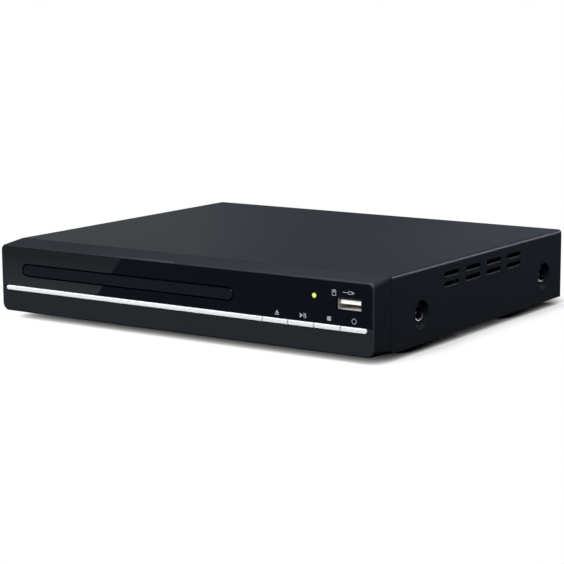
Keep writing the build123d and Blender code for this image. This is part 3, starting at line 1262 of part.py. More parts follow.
def jack_barrels():
    """Metal barrels of the phono jacks."""
    bore = JACK_R - JACK_WALL
    neck = JACK_R - JACK_NECK
    profile = ((bore, JACK_SEAT), (neck, JACK_SEAT), (neck, SOCKET_BACK), (JACK_R, SOCKET_BACK),
               (JACK_R, JACK_TIP - 0.6), (JACK_R - 0.4, JACK_TIP), (bore, JACK_TIP))
    return Compound(children=[turned_rearwards(x, JACK_Z, profile) for x in JACK_X])


def jack_insert(index):
    """Coloured insulator of one phono jack: collar round the barrel and sleeve inside it."""
    neck = JACK_R - JACK_NECK + RUNNING
    bore = JACK_R - JACK_WALL - RUNNING
    tip = JACK_TIP - 2.0
    profile = ((PIN_HOLE_R, JACK_FRONT), (JACK_COLLAR_R, JACK_FRONT), (JACK_COLLAR_R, SOCKET_BACK),
               (neck, SOCKET_BACK), (neck, JACK_SEAT), (bore, JACK_SEAT), (bore, tip), (PIN_HOLE_R, tip))
    return turned_rearwards(JACK_X[index], JACK_Z, profile)


# Power board

def power_board():
    """Board along the right side, with the header of its ribbon."""
    outline = Pos(POWER_MIDDLE, (POWER_FRONT + MAIN_BACK) / 2)
    outline = outline * Rectangle(POWER_RIGHT - POWER_LEFT, MAIN_BACK - POWER_FRONT)
    for x, y in power_board_seats():
        outline -= Pos(x, y) * Circle(SCREW_HOLE_R)
    board = lying(outline, BOARD_BOTTOM, BOARD_TOP)
    x, y, width, length = power_header(POWER_HEADER_X)
    return board + lying(Pos(x, y) * Rectangle(width, length), BOARD_TOP - 0.2, BOARD_TOP + HEADER_H)


def mains_inlet():
    """Two-pin inlet flush with the rear panel, with a pill-shaped well."""
    front = INLET_BACK - INLET_D
    place = Pos(INLET_X, INLET_Z)
    body = facing_front(place * RectangleRounded(INLET_W, INLET_H, 1.0), front, INLET_BACK)
    well = INLET_BACK - INLET_DEPTH
    body -= facing_front(place * SlotOverall(INLET_SLOT_W, INLET_SLOT_H), well, INLET_BACK + 1)
    for side in (-1, 1):
        x = INLET_X + side * INLET_PIN_PITCH / 2
        body -= along_y(x, INLET_Z, INLET_PIN_R + RUNNING, front - 1, INLET_BACK)
    return body


def inlet_pins():
    """Two round pins in the inlet's well."""
    front = INLET_BACK - INLET_D
    tip = INLET_BACK - 3.0
    pins = []
    for side in (-1, 1):
        x = INLET_X + side * INLET_PIN_PITCH / 2
        profile = ((0, front), (INLET_PIN_R, front), (INLET_PIN_R, tip - 0.6), (INLET_PIN_R - 0.6, tip),
                   (0, tip))
        pins.append(turned_rearwards(x, INLET_Z, profile))
    return Compound(children=pins)


def transformer_place():
    """Middle of the transformer in plan."""
    return POWER_MIDDLE, (POWER_FRONT + MAIN_BACK) / 2


def transformer_core():
    """Ferrite core: two E halves round the winding."""
    x, y = transformer_place()
    place = Pos(x, BOARD_TOP + CORE_D / 2 + CORE_H / 2)
    frame = place * Rectangle(CORE_W, CORE_H) - place * Rectangle(WINDING_W + 2 * FIT, WINDING_H + 2 * FIT)
    return facing_front(frame, y - CORE_D / 2, y + CORE_D / 2)


def transformer_winding():
    """Taped winding on its bobbin, through the core."""
    x, y = transformer_place()
    middle = BOARD_TOP + CORE_D / 2 + CORE_H / 2
    outline = Pos(x, middle) * RectangleRounded(WINDING_W, WINDING_H, 2.5)
    coil = facing_front(outline, y - WINDING_L / 2, y + WINDING_L / 2)
    half = BOBBIN_W / 2
    for end in (-1, 1):
        front, back = sorted((y + end * (WINDING_L / 2 - 2), y + end * (WINDING_L / 2 + 2)))
        coil += span(x - half, x + half, front, back, BOARD_TOP, middle - WINDING_H / 2 + 0.5)
    return coil


def power_capacitors():
    """Mains reservoir behind the transformer and a row of output capacitors in front of it."""
    x, y = transformer_place()
    clear = WINDING_L + RESERVOIR_R
    cans = [turned(x, y + clear, can_profile(RESERVOIR_R, RESERVOIR_H))]
    left = POWER_LEFT + OUTPUT_CAN_EDGE
    copies = int((POWER_RIGHT - OUTPUT_CAN_EDGE - left) / OUTPUT_CAN_PITCH) + 1
    for index in range(copies):
        profile = can_profile(OUTPUT_CAN_R, OUTPUT_CAN_H)
        cans.append(turned(left + index * OUTPUT_CAN_PITCH, y - clear, profile))
    return Compound(children=cans)


# Ribbons

def front_ribbon():
    """Flat cable from the front board back to the main board."""
    start = FRONT_BOARD_Y + BOARD_T + HEADER_H
    seat = BOARD_TOP + HEADER_H
    points = ((RIBBON_X, start, SLOT_Z), (RIBBON_X, RIBBON_END, SLOT_Z), (RIBBON_X, RIBBON_END, seat))
    return ribbon(points, RIBBON_BEND, (1, 0, 0), RIBBON_W - 1)


def power_ribbon():
    """Flat cable from the power board over to the main board."""
    y = power_header(MAIN_HEADER_X)[1]
    seat = BOARD_TOP + HEADER_H
    crest = SLOT_Z + RIBBON_CREST
    points = ((POWER_HEADER_X, y, seat), (POWER_HEADER_X, y, crest), (MAIN_HEADER_X, y, crest),
              (MAIN_HEADER_X, y, seat))
    return ribbon(points, RIBBON_BEND, (0, 1, 0), RIBBON_W - 1)


# Feet and fasteners

def feet():
    """Four rubber feet under the base."""
    profile = ((0, 0), (FOOT_R - 1.2, 0), (FOOT_R - 0.4, 0.8), (FOOT_R, FOOT_H), (0, FOOT_H))
    rows = (FOOT_FRONT_Y, BODY_D - FOOT_BACK)
    places = [(side * (SIDE - FOOT_FROM_SIDE), y) for side in (-1, 1) for y in rows]
    return Compound(children=[turned(x, y, profile) for x, y in places])


def cover_screws():
    """Four side screws in the dimples and two in the rear lip."""
    screws = []
    for side in (-1, 1):
        for y in SIDE_SCREW_YS:
            place = Pos(side * (SIDE - DIMPLE_D), y, SIDE_SCREW_Z) * Rot(0, side * 90, 0)
            screws.append(place * screw(SIDE_HEAD_R, SIDE_HEAD_H, AXLE_R, SIDE_SCREW_L))
        place = Pos(side * REAR_SCREW_X, BODY_D, BODY_TOP - COVER_LIP / 2) * Rot(-90, 0, 0)
        screws.append(place * screw(LIP_HEAD_R, LIP_HEAD_H, AXLE_R, LIP_SCREW_L))
    return Compound(children=screws)


def inner_screws():
    """Screws of the bezel, front board, loader, bridge, boards and rear panel."""
    slim = SHAFT_R - RUNNING
    stout = AXLE_R - RUNNING
    screws = []
    for x in bezel_bosses():
        place = Pos(x, FLANGE_Y + SHEET, FRONT_SCREW_Z) * Rot(-90, 0, 0)
        screws.append(place * screw(SLIM_HEAD_R, INNER_HEAD_H, slim, BEZEL_SCREW_L))
    for x, z in front_board_bosses():
        place = Pos(x, FRONT_BOARD_Y + BOARD_T, z) * Rot(-90, 0, 0)
        screws.append(place * screw(SLIM_HEAD_R, INNER_HEAD_H, slim, FRONT_BOARD_SCREW_L))
    for x, y in loader_seats():
        fixing = screw(STOUT_HEAD_R, INNER_HEAD_H, stout, DECK_TOP - BODY_BOTTOM)
        screws.append(Pos(x, y, DECK_TOP) * fixing)
    for x, y in bridge_bosses():
        screws.append(Pos(x, y, BRIDGE_TOP) * screw(SLIM_HEAD_R, INNER_HEAD_H, slim, BRIDGE_SCREW_L))
    for x, y in main_board_seats() + power_board_seats():
        screws.append(Pos(x, y, BOARD_TOP) * screw(BOARD_HEAD_R, INNER_HEAD_H, stout, BOARD_SCREW_L))
    for x in (-REAR_SCREW_X, 0, REAR_SCREW_X):
        place = Pos(x, PANEL_IN - PANEL_FOOT / 2, BODY_BOTTOM) * Rot(180, 0, 0)
        screws.append(place * screw(STOUT_HEAD_R, INNER_HEAD_H, stout, PANEL_SCREW_L))
    return Compound(children=screws)


PIECES = {
    "top_cover": top_cover,
    "base_pan": base_pan,
    "rear_panel": rear_panel,
    "front_bezel": front_bezel,
    "fascia_panel": fascia_panel,
    "trim_strip": trim_strip,
    "led_lens": led_lens,
    "front_board": front_board,
    "tact_switches": tact_switches,
    "ir_receiver": ir_receiver,
    "usb_shell": usb_shell,
    "usb_tongue": usb_tongue,
    "tray_door": tray_door,
    "disc_tray": disc_tray,
    "loader_frame": loader_frame,
    "tray_gear": tray_gear,
    "pulley_gear": pulley_gear,
    "loading_motor": loading_motor,
    "motor_pulley": motor_pulley,
    "drive_belt": drive_belt,
    "cam_slider": cam_slider,
    "clamp_bridge": clamp_bridge,
    "clamp_puck": clamp_puck,
    "traverse_plate": traverse_plate,
    "spindle_motor": spindle_motor,
    "turntable": turntable,
    "guide_rods": guide_rods,
    "pickup_sled": pickup_sled,
    "objective_lens": objective_lens,
    "lead_screw": lead_screw,
    "sled_motor": sled_motor,
    "main_board": main_board,
    "board_chips": board_chips,
    "heat_sink": heat_sink,
    "board_capacitors": board_capacitors,
    "hdmi_shell": hdmi_shell,
    "hdmi_tongue": hdmi_tongue,
    "jack_block": jack_block,
    "jack_barrels": jack_barrels,
    "power_board": power_board,
    "mains_inlet": mains_inlet,
    "inlet_pins": inlet_pins,
    "transformer_core": transformer_core,
    "transformer_winding": transformer_winding,
    "power_capacitors": power_capacitors,
    "front_ribbon": front_ribbon,
    "power_ribbon": power_ribbon,
    "feet": feet,
    "cover_screws": cover_screws,
    "inner_screws": inner_screws,
}
JACK_NAMES = ("jack_digital", "jack_video", "jack_left", "jack_right")


def main():
    """Build every piece, centre the part in depth and write one file per piece."""
    os.makedirs("parts", exist_ok=True)
    shapes = {name: make() for name, make in PIECES.items()}
    for index, name in enumerate(BUTTONS):
        shapes["button_" + name] = button(index)
    for index, name in enumerate(JACK_NAMES):
        shapes[name] = jack_insert(index)
    for name, shape in shapes.items():
        export_step(Pos(0, FRONT_Y, 0) * shape, "parts/" + name + ".step")
    print("depth", round(TOTAL_D, 3), "front at", round(FRONT_Y, 3), "travel", round(TRAY_TRAVEL, 3))


main()
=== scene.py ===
"""Looks of a compact disc player with a sliding tray, dressed over its solid model."""
import logging
import math
from dataclasses import dataclass, field
from enum import Enum
from typing import Any, Iterable, Optional, Sequence, Union

import bmesh
import bpy
from mathutils import Matrix, Vector


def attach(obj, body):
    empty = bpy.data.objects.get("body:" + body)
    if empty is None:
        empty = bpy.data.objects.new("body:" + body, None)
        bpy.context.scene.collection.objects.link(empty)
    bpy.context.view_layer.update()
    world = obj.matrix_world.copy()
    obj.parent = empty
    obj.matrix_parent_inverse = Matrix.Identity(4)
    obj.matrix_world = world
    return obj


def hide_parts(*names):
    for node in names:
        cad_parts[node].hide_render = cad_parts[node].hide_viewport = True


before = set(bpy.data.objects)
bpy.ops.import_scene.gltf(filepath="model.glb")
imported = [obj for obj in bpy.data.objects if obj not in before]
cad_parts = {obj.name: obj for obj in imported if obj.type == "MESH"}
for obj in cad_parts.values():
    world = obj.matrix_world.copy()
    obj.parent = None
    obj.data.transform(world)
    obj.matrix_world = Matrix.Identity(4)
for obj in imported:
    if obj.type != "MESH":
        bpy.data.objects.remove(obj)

LOG = logging.getLogger("disc_player")
MM = 0.001
CASE = "case"
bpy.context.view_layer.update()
# Refractive index of plastics, paint and ink
PLASTIC_IOR = 1.5
# Between these two values lies most of a noise or pattern
USUAL_LOW = 0.25
USUAL_HIGH = 0.75
# Octaves of the grain and of the brushed lines
GRAIN_DETAIL = 3.0
BRUSH_DETAIL = 4.0
# Brushed lines are drawn out along x by shrinking that coordinate
BRUSH_SHRINK = (0.02, 1.0, 1.0)
# Length of a track and the gap beside it, in tracks' widths
TRACK_LENGTH = 4.0
TRACK_GAP = 0.08
# Colour sockets of the mixing node
MIX_FIRST = 6
MIX_SECOND = 7
MIX_RESULT = 2
Point = tuple[float, float, float]
Outline = list[tuple[float, float]]
Tree = Union[bpy.types.ShaderNodeTree, bpy.types.GeometryNodeTree]
Socket = bpy.types.NodeSocket


def channel(share: float) -> float:
    """Turn one sRGB channel into linear light, by the curve of that standard.

    Args:
        share: channel between zero and one.

    Returns:
        The same brightness on a linear scale.
    """
    if share <= 0.04045:
        return share / 12.92
    return ((share + 0.055) / 1.055) ** 2.4


def linear(code: str) -> tuple[float, float, float, float]:
    """Turn an sRGB hex colour into linear light.

    Args:
        code: colour as six hex digits after a hash.

    Returns:
        Red, green, blue and an alpha of one.
    """
    red, green, blue = (channel(int(code[index:index + 2], 16) / 255.0) for index in (1, 3, 5))
    return red, green, blue, 1.0


def per_metre(size_mm: float) -> float:
    """Return the texture scale whose features are this many millimetres across."""
    return 1.0 / (size_mm * MM)


def add_node(tree: Tree, kind: str, settings: dict[str, Any], inputs: dict[Any, Any]) -> bpy.types.Node:
    """Add a node with its settings, values and links.

    Args:
        tree: node tree that takes the node.
        kind: the node's type name.
        settings: attributes of the node.
        inputs: value, output socket or list of them for each input, by name or number.

    Returns:
        The new node.
    """
    node = tree.nodes.new(kind)
    for key, value in settings.items():
        setattr(node, key, value)
    for key, value in inputs.items():
        sources = value if isinstance(value, list) else [value]
        for source in sources:
            if isinstance(source, Socket):
                tree.links.new(source, node.inputs[key])
            else:
                node.inputs[key].default_value = source
    return node


class Pattern(Enum):
    """How a surface varies over a piece."""

    GRAIN = "fine even grain"
    BRUSHED = "lines along x"
    SPANGLE = "crystals of a zinc coat"
    WIRES = "parallel conductors across x"
    TRACKS = "copper tracks under a solder mask"


@dataclass(frozen=True)
class Finish:
    """A surface with its two tones, its gloss and its relief.

    Attributes:
        name: material and how its surface was made.
        light: lighter tone.
        dark: darker tone.
        rough: middle of the roughness.
        spread: how far the roughness strays to either side.
        grain_mm: size of the fine pattern.
        relief_mm: depth of the fine pattern.
        cloud_mm: size of the slow change of tone.
        pattern: kind of fine pattern.
        metallic: one for bare metal.
        glow: emission strength of a lit piece.
        clear: share of light that passes through.
        sheared_and_shaded_mm: y in front of which the piece is painted dark, partly as a bare sheared edge
            and partly as painted shade.
        core_mm: middle of a lit core, outside which the piece is unlit.
        fade_mm: distances from that middle at which the light begins to fade and ends.
        dark_tone: tone of the part outside a lit core, and of a dark front rim that is partly bare sheared
            edge and partly painted shade.
    """

    name: str
    light: str
    dark: str
    rough: float
    spread: float = 0.04
    grain_mm: float = 0.8
    relief_mm: float = 0.01
    cloud_mm: float = 30.0
    pattern: Pattern = Pattern.GRAIN
    metallic: float = 0.0
    glow: float = 0.0
    clear: float = 0.0
    sheared_and_shaded_mm: float = -math.inf
    core_mm: Optional[Point] = None
    fade_mm: tuple[float, float] = (0.5, 1.4)
    dark_tone: str = "#000000"

    def dark_part_mask(self, tree: Tree, place: Socket) -> Optional[Socket]:
        """Find the dark part of the piece: the part outside a lit core, and a front rim that is painted shade
        over a bare sheared edge.

        Args:
            tree: material's node tree.
            place: position on the piece.

        Returns:
            Output that is one on the dark part, or nothing if there is none.
        """
        if self.core_mm is not None:
            core = tuple(value * MM for value in self.core_mm)
            begin, end = (value * MM for value in self.fade_mm)
            away = add_node(tree, "ShaderNodeVectorMath", {"operation": "DISTANCE"}, {0: place, 1: core})
            faded = add_node(tree, "ShaderNodeMapRange", {"interpolation_type": "SMOOTHSTEP"},
                             {0: away.outputs["Value"], 1: begin, 2: end})
            return faded.outputs[0]
        if math.isinf(self.sheared_and_shaded_mm):
            return None
        # The front rim is darkened by depth alone: partly a bare sheared edge, partly painted shade where the
        # fascia shades it.
        depth = add_node(tree, "ShaderNodeSeparateXYZ", {}, {0: place}).outputs["Y"]
        edge = add_node(tree, "ShaderNodeMath", {"operation": "LESS_THAN"},
                        {0: depth, 1: self.sheared_and_shaded_mm * MM})
        return edge.outputs[0]

    def with_dark_part(self, tree: Tree, place: Socket, colour: Socket) -> Socket:
        """Add the dark part's tone; on a front rim this tone is partly painted shade.

        Args:
            tree: material's node tree.
            place: position on the piece.
            colour: tone of the rest.

        Returns:
            Output with both tones.
        """
        where = self.dark_part_mask(tree, place)
        if where is None:
            return colour
        both = add_node(tree, "ShaderNodeMix", {"data_type": "RGBA"},
                        {0: where, MIX_FIRST: colour, MIX_SECOND: linear(self.dark_tone)})
        return both.outputs[MIX_RESULT]

    def fine(self, tree: Tree, place: Socket) -> Socket:
        """Add the fine pattern.

        Args:
            tree: material's node tree.
            place: position on the piece.

        Returns:
            Output between zero and one.
        """
        scale = per_metre(self.grain_mm)
        if self.pattern is Pattern.SPANGLE:
            cells = add_node(tree, "ShaderNodeTexVoronoi", {"feature": "F1"},
                             {"Vector": place, "Scale": scale})
            split = add_node(tree, "ShaderNodeSeparateColor", {}, {"Color": cells.outputs["Color"]})
            return split.outputs[0]
        if self.pattern is Pattern.BRUSHED:
            stretched = add_node(tree, "ShaderNodeMapping", {}, {"Vector": place, "Scale": BRUSH_SHRINK})
            lines = add_node(tree, "ShaderNodeTexNoise", {},
                             {"Vector": stretched.outputs[0], "Scale": scale, "Detail": BRUSH_DETAIL})
            return lines.outputs[0]
        if self.pattern is Pattern.WIRES:
            wires = add_node(tree, "ShaderNodeTexWave", {"bands_direction": "X", "wave_profile": "SIN"},
                             {"Vector": place, "Scale": scale / (2.0 * math.pi)})
            return wires.outputs["Fac"]
        if self.pattern is Pattern.TRACKS:
            tracks = add_node(tree, "ShaderNodeTexBrick", {},
                              {"Vector": place, "Scale": scale, "Mortar Size": TRACK_GAP,
                               "Brick Width": TRACK_LENGTH, "Row Height": 1.0})
            return tracks.outputs["Fac"]
        grain = add_node(tree, "ShaderNodeTexNoise", {},
                         {"Vector": place, "Scale": scale, "Detail": GRAIN_DETAIL})
        return grain.outputs[0]

    def material(self) -> bpy.types.Material:
        """Build the material, or return it if it is there already."""
        ready = bpy.data.materials.get(self.name)
        if ready is not None:
            return ready
        made = bpy.data.materials.new(self.name)
        made.use_nodes = True
        tree = made.node_tree
        shader = tree.nodes["Principled BSDF"]
        place = add_node(tree, "ShaderNodeTexCoord", {}, {}).outputs["Object"]
        fine = self.fine(tree, place)
        cloud = add_node(tree, "ShaderNodeTexNoise", {}, {"Vector": place, "Scale": per_metre(self.cloud_mm)})
        tone = fine if self.pattern is not Pattern.GRAIN else cloud.outputs[0]
        mixed = add_node(tree, "ShaderNodeMix", {"data_type": "RGBA"},
                         {0: tone, MIX_FIRST: linear(self.light), MIX_SECOND: linear(self.dark)})
        colour = self.with_dark_part(tree, place, mixed.outputs[MIX_RESULT])
        gloss = add_node(tree, "ShaderNodeMapRange", {},
                         {0: fine, 1: USUAL_LOW, 2: USUAL_HIGH,
                          3: self.rough - self.spread, 4: self.rough + self.spread})
        relief = add_node(tree, "ShaderNodeBump", {}, {"Distance": self.relief_mm * MM, "Height": fine})
        tree.links.new(colour, shader.inputs["Base Color"])
        tree.links.new(gloss.outputs[0], shader.inputs["Roughness"])
        tree.links.new(relief.outputs[0], shader.inputs["Normal"])
        shader.inputs["Metallic"].default_value = self.metallic
        if self.metallic < 1.0:
            shader.inputs["IOR"].default_value = PLASTIC_IOR
        shader.inputs["Transmission Weight"].default_value = self.clear
        if self.glow > 0.0:
            tree.links.new(colour, shader.inputs["Emission Color"])
            shader.inputs["Emission Strength"].default_value = self.glow
        made.diffuse_color = linear(self.light)
        return made


# Powder coat on the cover: satin, with a shallow orange peel that breaks up its sheen
POWDER_COAT = Finish("powder_coated_steel", "#191c20", "#15171b", 0.42, 0.05, 0.9, 0.012, 60.0)
# Flat paint on the rear wall: no shine, faint cloudiness
REAR_PAINT = Finish("flat_painted_steel", "#1b1c1e", "#151617", 0.6, 0.05, 0.6, 0.01, 40.0)
# Zinc-dipped sheet: grey crystals that catch light one by one
ZINC_SHEET = Finish("zinc_dipped_steel", "#b3b5b6", "#9a9c9e", 0.38, 0.08, 6.0, 0.0, 40.0,
                    Pattern.SPANGLE, 1.0)
# Spark-grained moulding: satin black, drawn a little coarser than its 0.2 mm grain so that it shows
SATIN_ABS = Finish("spark_grained_abs", "#1c1f22", "#181b1e", 0.5, 0.05, 0.5, 0.012, 45.0)
# Polished moulding: near-black mirror with a slow ripple
GLOSS_ABS = Finish("polished_abs", "#060709", "#050609", 0.03, 0.01, 22.0, 0.006, 60.0)
# Silver lacquer over plastic: pale satin with fine lines along its length
SILVER_ABS = Finish("silver_lacquered_abs", "#f0f1f2", "#e2e4e7", 0.42, 0.04, 0.4, 0.004, 20.0,
                    Pattern.BRUSHED, 0.3)
# Lit light pipe: yellow-green acrylic, bright where the lamp stands behind it
LIT_ACRYLIC = Finish("lit_acrylic", "#d4e276", "#bfce5c", 0.2, 0.03, 0.6, 0.01, 2.0, glow=0.75,
                     core_mm=(80.5, -99.0, 30.35), dark_tone="#14160a")
# Dark sheet put behind the rear slots as painted shade, so that the inside stays dark; drawn as dull black
# woven nylon
REAR_SHADE_FINISH = Finish("woven_nylon_mesh", "#121213", "#060607", 0.7, 0.05, 0.6, 0.05, 10.0, Pattern.TRACKS)
# Board: green solder mask over copper tracks
LAMINATE = Finish("solder_masked_laminate", "#1c5a2c", "#2b7a3c", 0.35, 0.05, 1.2, 0.02, 30.0, Pattern.TRACKS)
# Black moulding resin: matt, faint flow marks
RESIN = Finish("black_moulding_resin", "#202124", "#17181a", 0.5, 0.06, 0.7, 0.01, 12.0)
# White moulding resin: slightly warm
WHITE_RESIN = Finish("white_moulding_resin", "#f4f3ef", "#e6e4de", 0.4, 0.05, 0.6, 0.006, 8.0)
# Dark window resin: passes infrared only
WINDOW_RESIN = Finish("infrared_window_resin", "#24121c", "#1a0d14", 0.12, 0.03, 6.0, 0.004, 6.0)
# Nickel over steel: soft grey mirror with rolling lines
NICKEL = Finish("nickel_plated_steel", "#e6e3dc", "#d2cfc8", 0.36, 0.06, 0.3, 0.003, 10.0,
                Pattern.BRUSHED, 1.0)
# Tin over folded steel: pale, soft shine. Its front rim is painted dark, partly as the bare sheared edge that
# the tin doesn't cover and partly as painted shade from the fascia
TIN = Finish("tin_plated_steel", "#f4f1ea", "#e6e2d9", 0.34, 0.06, 0.3, 0.003, 6.0, Pattern.BRUSHED, 0.45,
             sheared_and_shaded_mm=-98.55, dark_tone="#2b2a29")
# Tray moulding: fine matt grain
TRAY_ABS = Finish("matt_grained_abs", "#222327", "#1a1b1e", 0.55, 0.06, 0.5, 0.014, 30.0)
# Loader moulding: plain polystyrene
FRAME_PS = Finish("moulded_polystyrene", "#2b2c30", "#222327", 0.5, 0.06, 1.0, 0.012, 20.0)
# Natural acetal: waxy off-white
ACETAL = Finish("natural_acetal", "#e9e6dc", "#dbd7ca", 0.38, 0.04, 1.2, 0.006, 8.0)
# Drawn steel can: faint lines round the wall
DRAWN_STEEL = Finish("drawn_steel", "#b6b8ba", "#989a9d", 0.3, 0.07, 0.4, 0.004, 10.0, Pattern.BRUSHED, 1.0)
# Ground rod: bright with fine lines
GROUND_STEEL = Finish("ground_steel", "#d2d4d6", "#bcbec1", 0.16, 0.04, 0.2, 0.002, 10.0,
                      Pattern.BRUSHED, 1.0)
# Rubber: dull black with a dusty tone
RUBBER = Finish("moulded_rubber", "#1c1c1d", "#121213", 0.8, 0.06, 0.8, 0.03, 10.0)
# Turned brass
BRASS = Finish("turned_brass", "#d8b56a", "#c09c50", 0.24, 0.05, 0.25, 0.003, 6.0, Pattern.BRUSHED, 1.0)
# Gold flash on contacts
GOLD_FLASH = Finish("gold_flashed_contact", "#e3bd63", "#cfa54a", 0.2, 0.04, 0.2, 0.002, 4.0,
                    Pattern.BRUSHED, 1.0)
# Clear lens
LENS_GLASS = Finish("moulded_lens_glass", "#eef4fb", "#dde8f4", 0.04, 0.01, 4.0, 0.0005, 4.0, clear=1.0)
# Extruded aluminium: long die lines
EXTRUSION = Finish("extruded_aluminium", "#c9cbcd", "#aeb0b3", 0.34, 0.06, 0.5, 0.006, 15.0,
                   Pattern.BRUSHED, 1.0)
# Shrink sleeve on a can: glossy dark blue
SLEEVE = Finish("shrink_sleeve_pvc", "#1b2540", "#141b30", 0.2, 0.04, 3.0, 0.006, 6.0)
# Sintered ferrite: dark grey, slightly pitted
FERRITE = Finish("sintered_ferrite", "#2f3033", "#242527", 0.62, 0.08, 0.6, 0.03, 5.0)
# Polyester tape: yellow with overlapping edges
TAPE = Finish("polyester_tape", "#d8b534", "#c9a426", 0.3, 0.05, 3.0, 0.02, 8.0)
# Flat cable: grey vinyl over a row of wires
FLAT_CABLE = Finish("vinyl_flat_cable", "#c3c5c7", "#a4a6a9", 0.45, 0.05, 1.0, 0.08, 10.0, Pattern.WIRES)
# Zinc-plated screw: bright with a faint blue
SCREW_ZINC = Finish("zinc_plated_screw", "#d6d8da", "#bfc2c6", 0.24, 0.06, 0.4, 0.004, 3.0,
                    Pattern.BRUSHED, 1.0)
# Screen-printed ink: flat light grey
INK = Finish("screen_printed_ink", "#90949a", "#868a90", 0.5, 0.05, 0.3, 0.002, 3.0)
# Jack inserts: glossy coloured moulding
ORANGE_INSERT = Finish("orange_insert", "#e8821e", "#d27216", 0.28, 0.04, 0.8, 0.004, 6.0)
YELLOW_INSERT = Finish("yellow_insert", "#f2cf1f", "#ddbb16", 0.28, 0.04, 0.8, 0.004, 6.0)
WHITE_INSERT = Finish("white_insert", "#eeeeea", "#dfdfda", 0.28, 0.04, 0.8, 0.004, 6.0)
RED_INSERT = Finish("red_insert", "#c8201f", "#b21817", 0.28, 0.04, 0.8, 0.004, 6.0)

NODE_FINISHES: dict[Finish, tuple[str, ...]] = {
    POWDER_COAT: ("top_cover",),
    REAR_PAINT: ("rear_panel",),
    ZINC_SHEET: ("base_pan", "clamp_bridge"),
    SATIN_ABS: ("front_bezel",),
    GLOSS_ABS: ("fascia_panel", "tray_door"),
    SILVER_ABS: ("trim_strip", "button_eject", "button_play", "button_stop", "button_power"),
    LIT_ACRYLIC: ("led_lens",),
    LAMINATE: ("front_board", "main_board", "power_board"),
    RESIN: ("tact_switches", "clamp_puck", "turntable", "pickup_sled", "board_chips", "hdmi_tongue",
            "jack_block", "mains_inlet"),
    WHITE_RESIN: ("usb_tongue",),
    WINDOW_RESIN: ("ir_receiver",),
    NICKEL: ("hdmi_shell", "jack_barrels"),
    TIN: ("usb_shell",),
    TRAY_ABS: ("disc_tray",),
    FRAME_PS: ("loader_frame", "traverse_plate"),
    ACETAL: ("tray_gear", "pulley_gear", "cam_slider"),
    DRAWN_STEEL: ("loading_motor", "spindle_motor", "sled_motor"),
    GROUND_STEEL: ("guide_rods", "lead_screw"),
    RUBBER: ("drive_belt", "feet"),
    BRASS: ("motor_pulley", "inlet_pins"),
    LENS_GLASS: ("objective_lens",),
    EXTRUSION: ("heat_sink",),
    SLEEVE: ("board_capacitors", "power_capacitors"),
    FERRITE: ("transformer_core",),
    TAPE: ("transformer_winding",),
    FLAT_CABLE: ("front_ribbon", "power_ribbon"),
    SCREW_ZINC: ("cover_screws", "inner_screws"),
    ORANGE_INSERT: ("jack_digital",),
    YELLOW_INSERT: ("jack_video",),
    WHITE_INSERT: ("jack_left",),
    RED_INSERT: ("jack_right",),
}


def dress_nodes() -> None:
    """Give every solid of the frame its finish."""
    for finish, nodes in NODE_FINISHES.items():
        for node in nodes:
            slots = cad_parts[node].data.materials
            slots.clear()
            slots.append(finish.material())
    LOG.info("dressed %d solids", sum(len(nodes) for nodes in NODE_FINISHES.values()))


def new_object(name: str, data: Any) -> bpy.types.Object:
    """Make an object and link it into the scene.

    Args:
        name: name of the object.
        data: its mesh, lamp or camera.

    Returns:
        The new object.
    """
    made = bpy.data.objects.new(name, data)
    bpy.context.scene.collection.objects.link(made)
    return made


def mesh_of(name: str, shape: bmesh.types.BMesh, material: bpy.types.Material) -> bpy.types.Mesh:
    """Turn an edited shape into a mesh of one material.

    Args:
        name: name of the mesh.
        shape: the edited shape, which is used up.
        material: its material.

    Returns:
        The new mesh.
    """
    mesh = bpy.data.meshes.new(name)
    shape.to_mesh(mesh)
    shape.free()
    mesh.materials.append(material)
    return mesh


def hide_from(thing: bpy.types.Object, rays: Sequence[str]) -> None:
    """Hide an object from some kinds of rays."""
    for ray in rays:
        setattr(thing, "visible_" + ray, False)


def add_piece(name: str, mesh: bpy.types.Mesh, body: str) -> bpy.types.Object:
    """Set a finished mesh into the scene and tie it to its body.

    Args:
        name: name of the piece.
        mesh: mesh in the frame's own metres, with its material.
        body: body that carries the piece.

    Returns:
        The new object.
    """
    piece = new_object(name, mesh)
    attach(piece, body)
    LOG.info("piece %s on %s: %d faces", name, body, len(mesh.polygons))
    return piece


def bake_tree(name: str, points: bpy.types.Mesh, tree: bpy.types.GeometryNodeTree,
              sizes: dict[str, float]) -> bpy.types.Mesh:
    """Run a node tree on a set of points and keep the result as a plain mesh.

    Args:
        name: name of the mesh.
        points: mesh whose vertices are the places.
        tree: geometry node tree.
        sizes: value of each named input.

    Returns:
        The finished mesh.
    """
    carrier = new_object(name + "_points", points)
    step = carrier.modifiers.new("layout", "NODES")
    step.node_group = tree
    for item in tree.interface.items_tree:
        if item.item_type == "SOCKET" and item.in_out == "INPUT" and item.name in sizes:
            step[item.identifier] = sizes[item.name]
    graph = bpy.context.evaluated_depsgraph_get()
    mesh = bpy.data.meshes.new_from_object(carrier.evaluated_get(graph))
    mesh.name = name
    carrier.modifiers.clear()
    bpy.data.objects.remove(carrier)
    return mesh


def new_tree(name: str, inputs: Iterable[str]) -> tuple[bpy.types.GeometryNodeTree, bpy.types.Node]:
    """Start a geometry node tree with named size inputs.

    Args:
        name: name of the tree.
        inputs: names of the size inputs.

    Returns:
        The tree and its input node.
    """
    tree = bpy.data.node_groups.new(name, "GeometryNodeTree")
    tree.interface.new_socket("Geometry", in_out="INPUT", socket_type="NodeSocketGeometry")
    for label in inputs:
        tree.interface.new_socket(label, in_out="INPUT", socket_type="NodeSocketFloat")
    tree.interface.new_socket("Geometry", in_out="OUTPUT", socket_type="NodeSocketGeometry")
    return tree, add_node(tree, "NodeGroupInput", {}, {})


